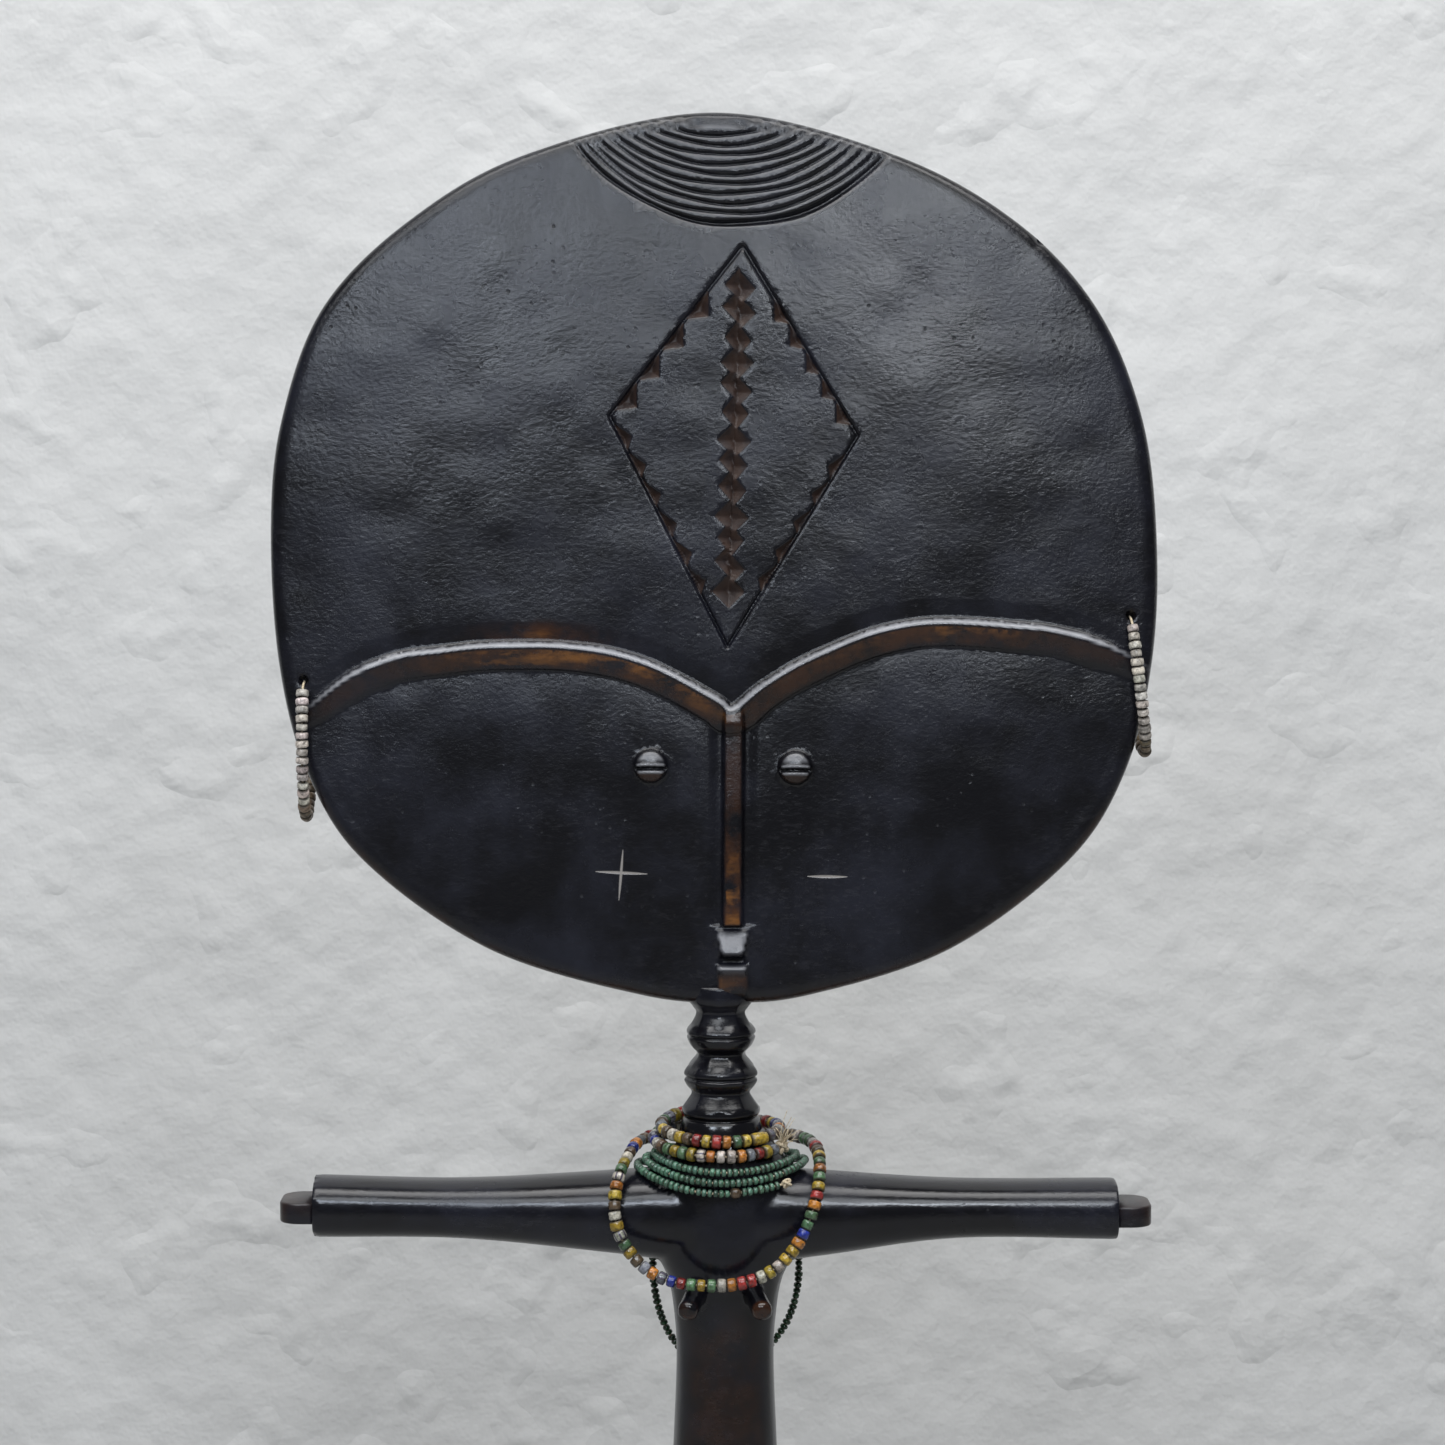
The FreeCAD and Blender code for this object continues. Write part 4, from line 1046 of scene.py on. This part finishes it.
hoopBeads = {"shortest": 0.86, "radius": 1.12, "bareStart": 15.0, "colours": ["white"] * 14 + ["brown"] * 14,
             "glass": hoopGlass, "shape": mixedBead, "lay": "hanging"}
tradeBeads = {"shortest": 0.86, "radius": 1.2, "glass": tradeGlass, "shape": mixedBead}
greenBeads = {"shortest": 0.84, "radius": 0.75, "colours": ["green"], "glass": seedGlass, "shape": seedBead}
strings = {
    "left_hoop": dict(hoopBeads, route=hoopRoute("left"), body="left_hoop"),
    "right_hoop": dict(hoopBeads, route=hoopRoute("right"), body="right_hoop"),
    "collar": dict(tradeBeads, route=wound(collarWinding), body="neck_strings", colours=collarColours,
                   lay="coiled"),
    "green_collar": dict(greenBeads, route=wound(greenWinding), body="neck_strings", lay="coiled"),
    "front_loop": dict(tradeBeads, route=frontLoopRoute, body="front_loop", colours=frontLoopColours,
                       lay="hanging"),
    "back_loop": dict(greenBeads, route=backLoopRoute, body="back_loop", lay="hanging"),
}


# beads unlike the rest of their string: near which place, colour, girth, and how many beads long
odd = {
    "collar": [((5.6, -7.6, 186.6), "yellow", 1.04, 2), ((-8.9, -4.0, 187.2), "brown", 1.10, 1)],
    "green_collar": [((1.4, -11.8, 177.4), "brown", 1.30, 2)],
}


def tintOf(name, colour, rng):
    key = colour
    if colour == "green":
        key = {"green_collar": "seed", "back_loop": "darkSeed"}.get(name, colour)
    if "hoop" in name:
        key = "hoop" + colour.capitalize()
    base = np.array(tints[key])
    shade = rng.uniform(0.52, 1.14)
    shift = rng.uniform(-0.05, 0.05, 3)
    return tuple(np.clip(base * shade * (1 + shift), 0, 1)) + (1.0,)


def makeString(name, spec, seed):
    rng = np.random.RandomState(seed)
    thread, line = threadPiece(camel(name) + "Thread", spec["route"])
    total = lineLength(line) / mm
    tied = threads["knotLength"] / 2 + threads["beadGap"]
    start, end = spec.get("bareStart", tied), tied
    count = countBeads(name)
    pitch = (total - start - end) / count
    places = [alongLine(line, (start + (k + 0.5) * pitch) * mm) for k in range(count)]
    special, skipped = {}, set()
    for near, colour, girth, beadsLong in odd.get(name, []):
        k = int(np.argmin([np.linalg.norm(place - np.array(near) * mm) for place, way in places]))
        special[k] = (colour, girth, beadsLong)
        skipped |= set(range(k + 1, k + beadsLong))
    groups = {}
    for k, (place, way) in enumerate(places):
        if k in skipped:
            continue
        node = spec["colours"][k % len(spec["colours"])]
        colour, girth, beadsLong = special.get(k, (node, 1.0, 1))
        half = pitch / 2 * rng.uniform(spec["shortest"], 0.985)
        slack = pitch / 2 - half
        if beadsLong > 1:
            half = pitch * (beadsLong / 2 - 0.03)
            slack = 0
            place = alongLine(line, (start + (k + beadsLong / 2) * pitch) * mm)[0]
        place = place + way * (slack * rng.uniform(-0.9, 0.9) * mm)
        radius = spec["radius"] * rng.uniform(0.84, 1.03) * girth
        striped = 1.0 if colour in ("white", "grey") and rng.rand() < 0.45 and "hoop" not in name else 0.0
        groups.setdefault(node, []).append((place, way, radius, half, tintOf(name, colour, rng), striped))
    pieces = []
    for i, (colour, beads) in enumerate(groups.items()):
        label = camel(name) + colour.capitalize() + "Beads"
        piece = beadPiece(label, beads, spec["shape"], spec["glass"], seed + i, 0.06, 0.09)
        node = f"{name}_{colour}_beads"
        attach(piece, spec["body"])
        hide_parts(node)
        pieces.append(piece)
    knot = knotPiece(camel(name) + "Knots", name, line, spec["radius"])
    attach(knot, spec["body"])
    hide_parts(name + "_knot")
    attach(thread, spec["body"])
    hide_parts(name + "_thread")
    print(name, "strung with", count, "beads on", round(total, 1), "mm of thread")
    return pieces


def camel(name):
    first, *rest = name.split("_")
    return first + "".join(word.capitalize() for word in rest)


def countBeads(name):
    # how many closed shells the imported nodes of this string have
    count = 0
    for node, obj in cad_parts.items():
        if node.startswith(name + "_") and node.endswith("_beads"):
            shell = bmesh.new()
            shell.from_mesh(obj.data)
            bmesh.ops.remove_doubles(shell, verts=shell.verts, dist=1e-7)
            seen = set()
            for vert in shell.verts:
                if vert in seen:
                    continue
                count += 1
                stack = [vert]
                seen.add(vert)
                while stack:
                    for edge in stack.pop().link_edges:
                        for other in edge.verts:
                            if other not in seen:
                                seen.add(other)
                                stack.append(other)
            shell.free()
    return count


def tube(points, radius, sides=8):
    # a capped tube through points, for the thread of a knot
    points = np.array(points)
    ways = np.gradient(points, axis=0)
    ways /= np.linalg.norm(ways, axis=1)[:, None]
    across = np.cross(ways[0], (0.3, 0.5, 0.8))
    verts = []
    turns = np.linspace(0, 2 * np.pi, sides, endpoint=False)
    for p, w in zip(points, ways):
        across = across - w * np.dot(across, w)
        across /= np.linalg.norm(across)
        up = np.cross(w, across)
        verts += [p + radius * (across * math.cos(a) + up * math.sin(a)) for a in turns]
    return verts, tubeFaces(len(points), sides)


def knotPiece(name, stringName, line, radius):
    # an overhand knot over the two ends of the thread; the collar's loose end is frayed
    rng = np.random.RandomState(len(stringName))
    spots = [alongLine(line, 0.0)]
    if stringName in ("collar", "green_collar"):
        spots.append(alongLine(line, lineLength(line)))
    verts, faces = [], []
    for place, way in spots:
        way = way / np.linalg.norm(way)
        across = np.cross(way, (0.1, 0.2, 0.97))
        across /= np.linalg.norm(across)
        up = np.cross(way, across)
        t = np.linspace(0, 2 * np.pi, 60)
        reach = radius * 0.62 * (1 + 0.33 * np.cos(3 * t))
        points = [place + mm * (across * (r * math.cos(2 * a)) + up * (r * math.sin(2 * a))
                                + way * (0.62 * math.sin(3 * a))) for a, r in zip(t, reach)]
        more, flat = tube(points, 0.30 * radius * mm)
        faces += [tuple(i + len(verts) for i in f) for f in flat]
        verts += more
    if stringName == "collar":
        for k in range(34):
            # loose fibres stand out of the last knot, each bent its own way
            lean = np.array([rng.normal(0.25, 0.42), rng.normal(-0.35, 0.35), rng.uniform(0.5, 1.0)])
            lean /= np.linalg.norm(lean)
            bend = rng.normal(0, 0.30, 3)
            reach = rng.uniform(2.0, 4.6)
            points = [place + mm * (lean * reach * t + bend * reach * t * t) for t in np.linspace(0, 1, 7)]
            more, flat = tube(points, rng.uniform(0.035, 0.07) * mm, 4)
            faces += [tuple(i + len(verts) for i in f) for f in flat]
            verts += more
    return meshPiece(name, verts, faces, cotton)


for number, (name, spec) in enumerate(strings.items()):
    makeString(name, spec, 40 + 10 * number)
for template in (mixedBead, seedBead):
    bpy.data.objects.remove(template)
print("strings done")


stage = {"wallY": 0.34, "wall": (0.60, 0.595, 0.585, 1), "floor": (0.34, 0.34, 0.33, 1)}


def stageMaterial(name, colour, bumpiness):
    material, tree, shader = newMaterial(name)
    place = objectPlace(tree)
    blotch = spread(tree, noiseOf(tree, place, 6.0, 4.0), 0.3, 0.7, 0.93, 1.05)
    blotched = mixColour(tree, 1.0, colour, mottledColour(tree, blotch), "MULTIPLY")
    tree.links.new(blotched, shader.inputs["Base Color"])
    shader.inputs["Roughness"].default_value = 0.85
    broad, fine = noiseOf(tree, place, 15.0, 3.0, 0.5), noiseOf(tree, place, 120.0, 3.0, 0.6)
    lumps = spread(tree, noiseOf(tree, place, 48.0, 2.0, 0.4), 0.60, 0.72)
    height = calc(tree, "ADD", broad, calc(tree, "MULTIPLY", lumps, 0.10))
    height = calc(tree, "ADD", height, calc(tree, "MULTIPLY", fine, 0.12))
    bump = addNode(tree, "ShaderNodeBump", Strength=bumpiness, Distance=0.012, Height=height)
    tree.links.new(bump.outputs[0], shader.inputs["Normal"])
    return material


def clearFromBehind(material):
    # the wall shows only from its front, so that the back of the figure can be looked at too
    tree = material.node_tree
    mix = tree.nodes.new("ShaderNodeMixShader")
    tree.links.new(tree.nodes.new("ShaderNodeNewGeometry").outputs["Backfacing"], mix.inputs[0])
    tree.links.new(tree.nodes["Principled BSDF"].outputs[0], mix.inputs[1])
    tree.links.new(tree.nodes.new("ShaderNodeBsdfTransparent").outputs[0], mix.inputs[2])
    tree.links.new(mix.outputs[0], tree.nodes["Material Output"].inputs["Surface"])
    return material


def makeStage():
    wallY = stage["wallY"]
    plaster = clearFromBehind(stageMaterial("plaster", stage["wall"], 0.55))
    corners = [(-1.6, wallY, -0.02), (1.6, wallY, -0.02), (1.6, wallY, 1.8), (-1.6, wallY, 1.8)]
    wall = meshPiece("backWall", corners, [(0, 1, 2, 3)], plaster, False)
    ground = stageMaterial("paleGround", stage["floor"], 0.05)
    corners = [(-1.6, -1.6, 0), (1.6, -1.6, 0), (1.6, wallY, 0), (-1.6, wallY, 0)]
    floor = meshPiece("paleFloor", corners, [(0, 1, 2, 3)], ground, False)


def softLight(name, place, target, size, power, colour=(1, 1, 1)):
    lamp = bpy.data.lights.new(name, "AREA")
    lamp.shape = "RECTANGLE"
    lamp.size, lamp.size_y = size
    lamp.energy = power
    lamp.color = colour
    holder = bpy.data.objects.new(name, lamp)
    scene.collection.objects.link(holder)
    holder.location = place
    holder.rotation_euler = (Vector(target) - Vector(place)).to_track_quat("-Z", "Y").to_euler()


def lightAndCamera():
    world = bpy.data.worlds.new("studio")
    scene.world = world
    world.use_nodes = True
    sky = world.node_tree.nodes["Background"]
    sky.inputs["Color"].default_value = (0.88, 0.94, 1.0, 1)
    sky.inputs["Strength"].default_value = 0.14
    # past the wall and floor the camera sees the same pale grey
    tree = world.node_tree
    pale = addNode(tree, "ShaderNodeBackground", Color=stage["wall"], Strength=1.0)
    mix = tree.nodes.new("ShaderNodeMixShader")
    tree.links.new(tree.nodes.new("ShaderNodeLightPath").outputs["Is Camera Ray"], mix.inputs[0])
    tree.links.new(sky.outputs[0], mix.inputs[1])
    tree.links.new(pale.outputs[0], mix.inputs[2])
    tree.links.new(mix.outputs[0], tree.nodes["World Output"].inputs["Surface"])
    for name, place, target, size, power, colour in (
            ("skyFront", (-0.20, -1.00, 1.22), (0, 0, 0.24), (1.7, 0.34), 11.5, (0.92, 0.96, 1.0)),
            ("overhead", (0.0, -0.22, 1.10), (0, 0, 0.25), (1.1, 0.40), 6.5, (1.0, 1.0, 1.0)),
            ("sheenLeft", (-0.15, -0.60, 0.53), (-0.045, 0, 0.34), (0.12, 0.08), 0.90, (0.80, 0.88, 1.0)),
            ("sheenRight", (0.105, -0.60, 0.54), (0.036, 0, 0.345), (0.12, 0.08), 1.05, (0.86, 0.92, 1.0)),
            ("wallWash", (0.0, -0.10, 1.30), (0, 0.34, 0.40), (1.6, 0.3), 4.6, (1.0, 0.99, 0.97))):
        softLight(name, place, target, size, power, colour)
    camera = bpy.data.objects.new("camera", bpy.data.cameras.new("camera"))
    scene.collection.objects.link(camera)
    camera.location = (-0.00043, -0.6179, 0.30766)
    camera.rotation_euler = (math.radians(90 - 4.7), 0, 0)
    camera.data.sensor_width = 36.0
    camera.data.lens = 90.86
    scene.camera = camera


makeStage()
lightAndCamera()
print("stage set")
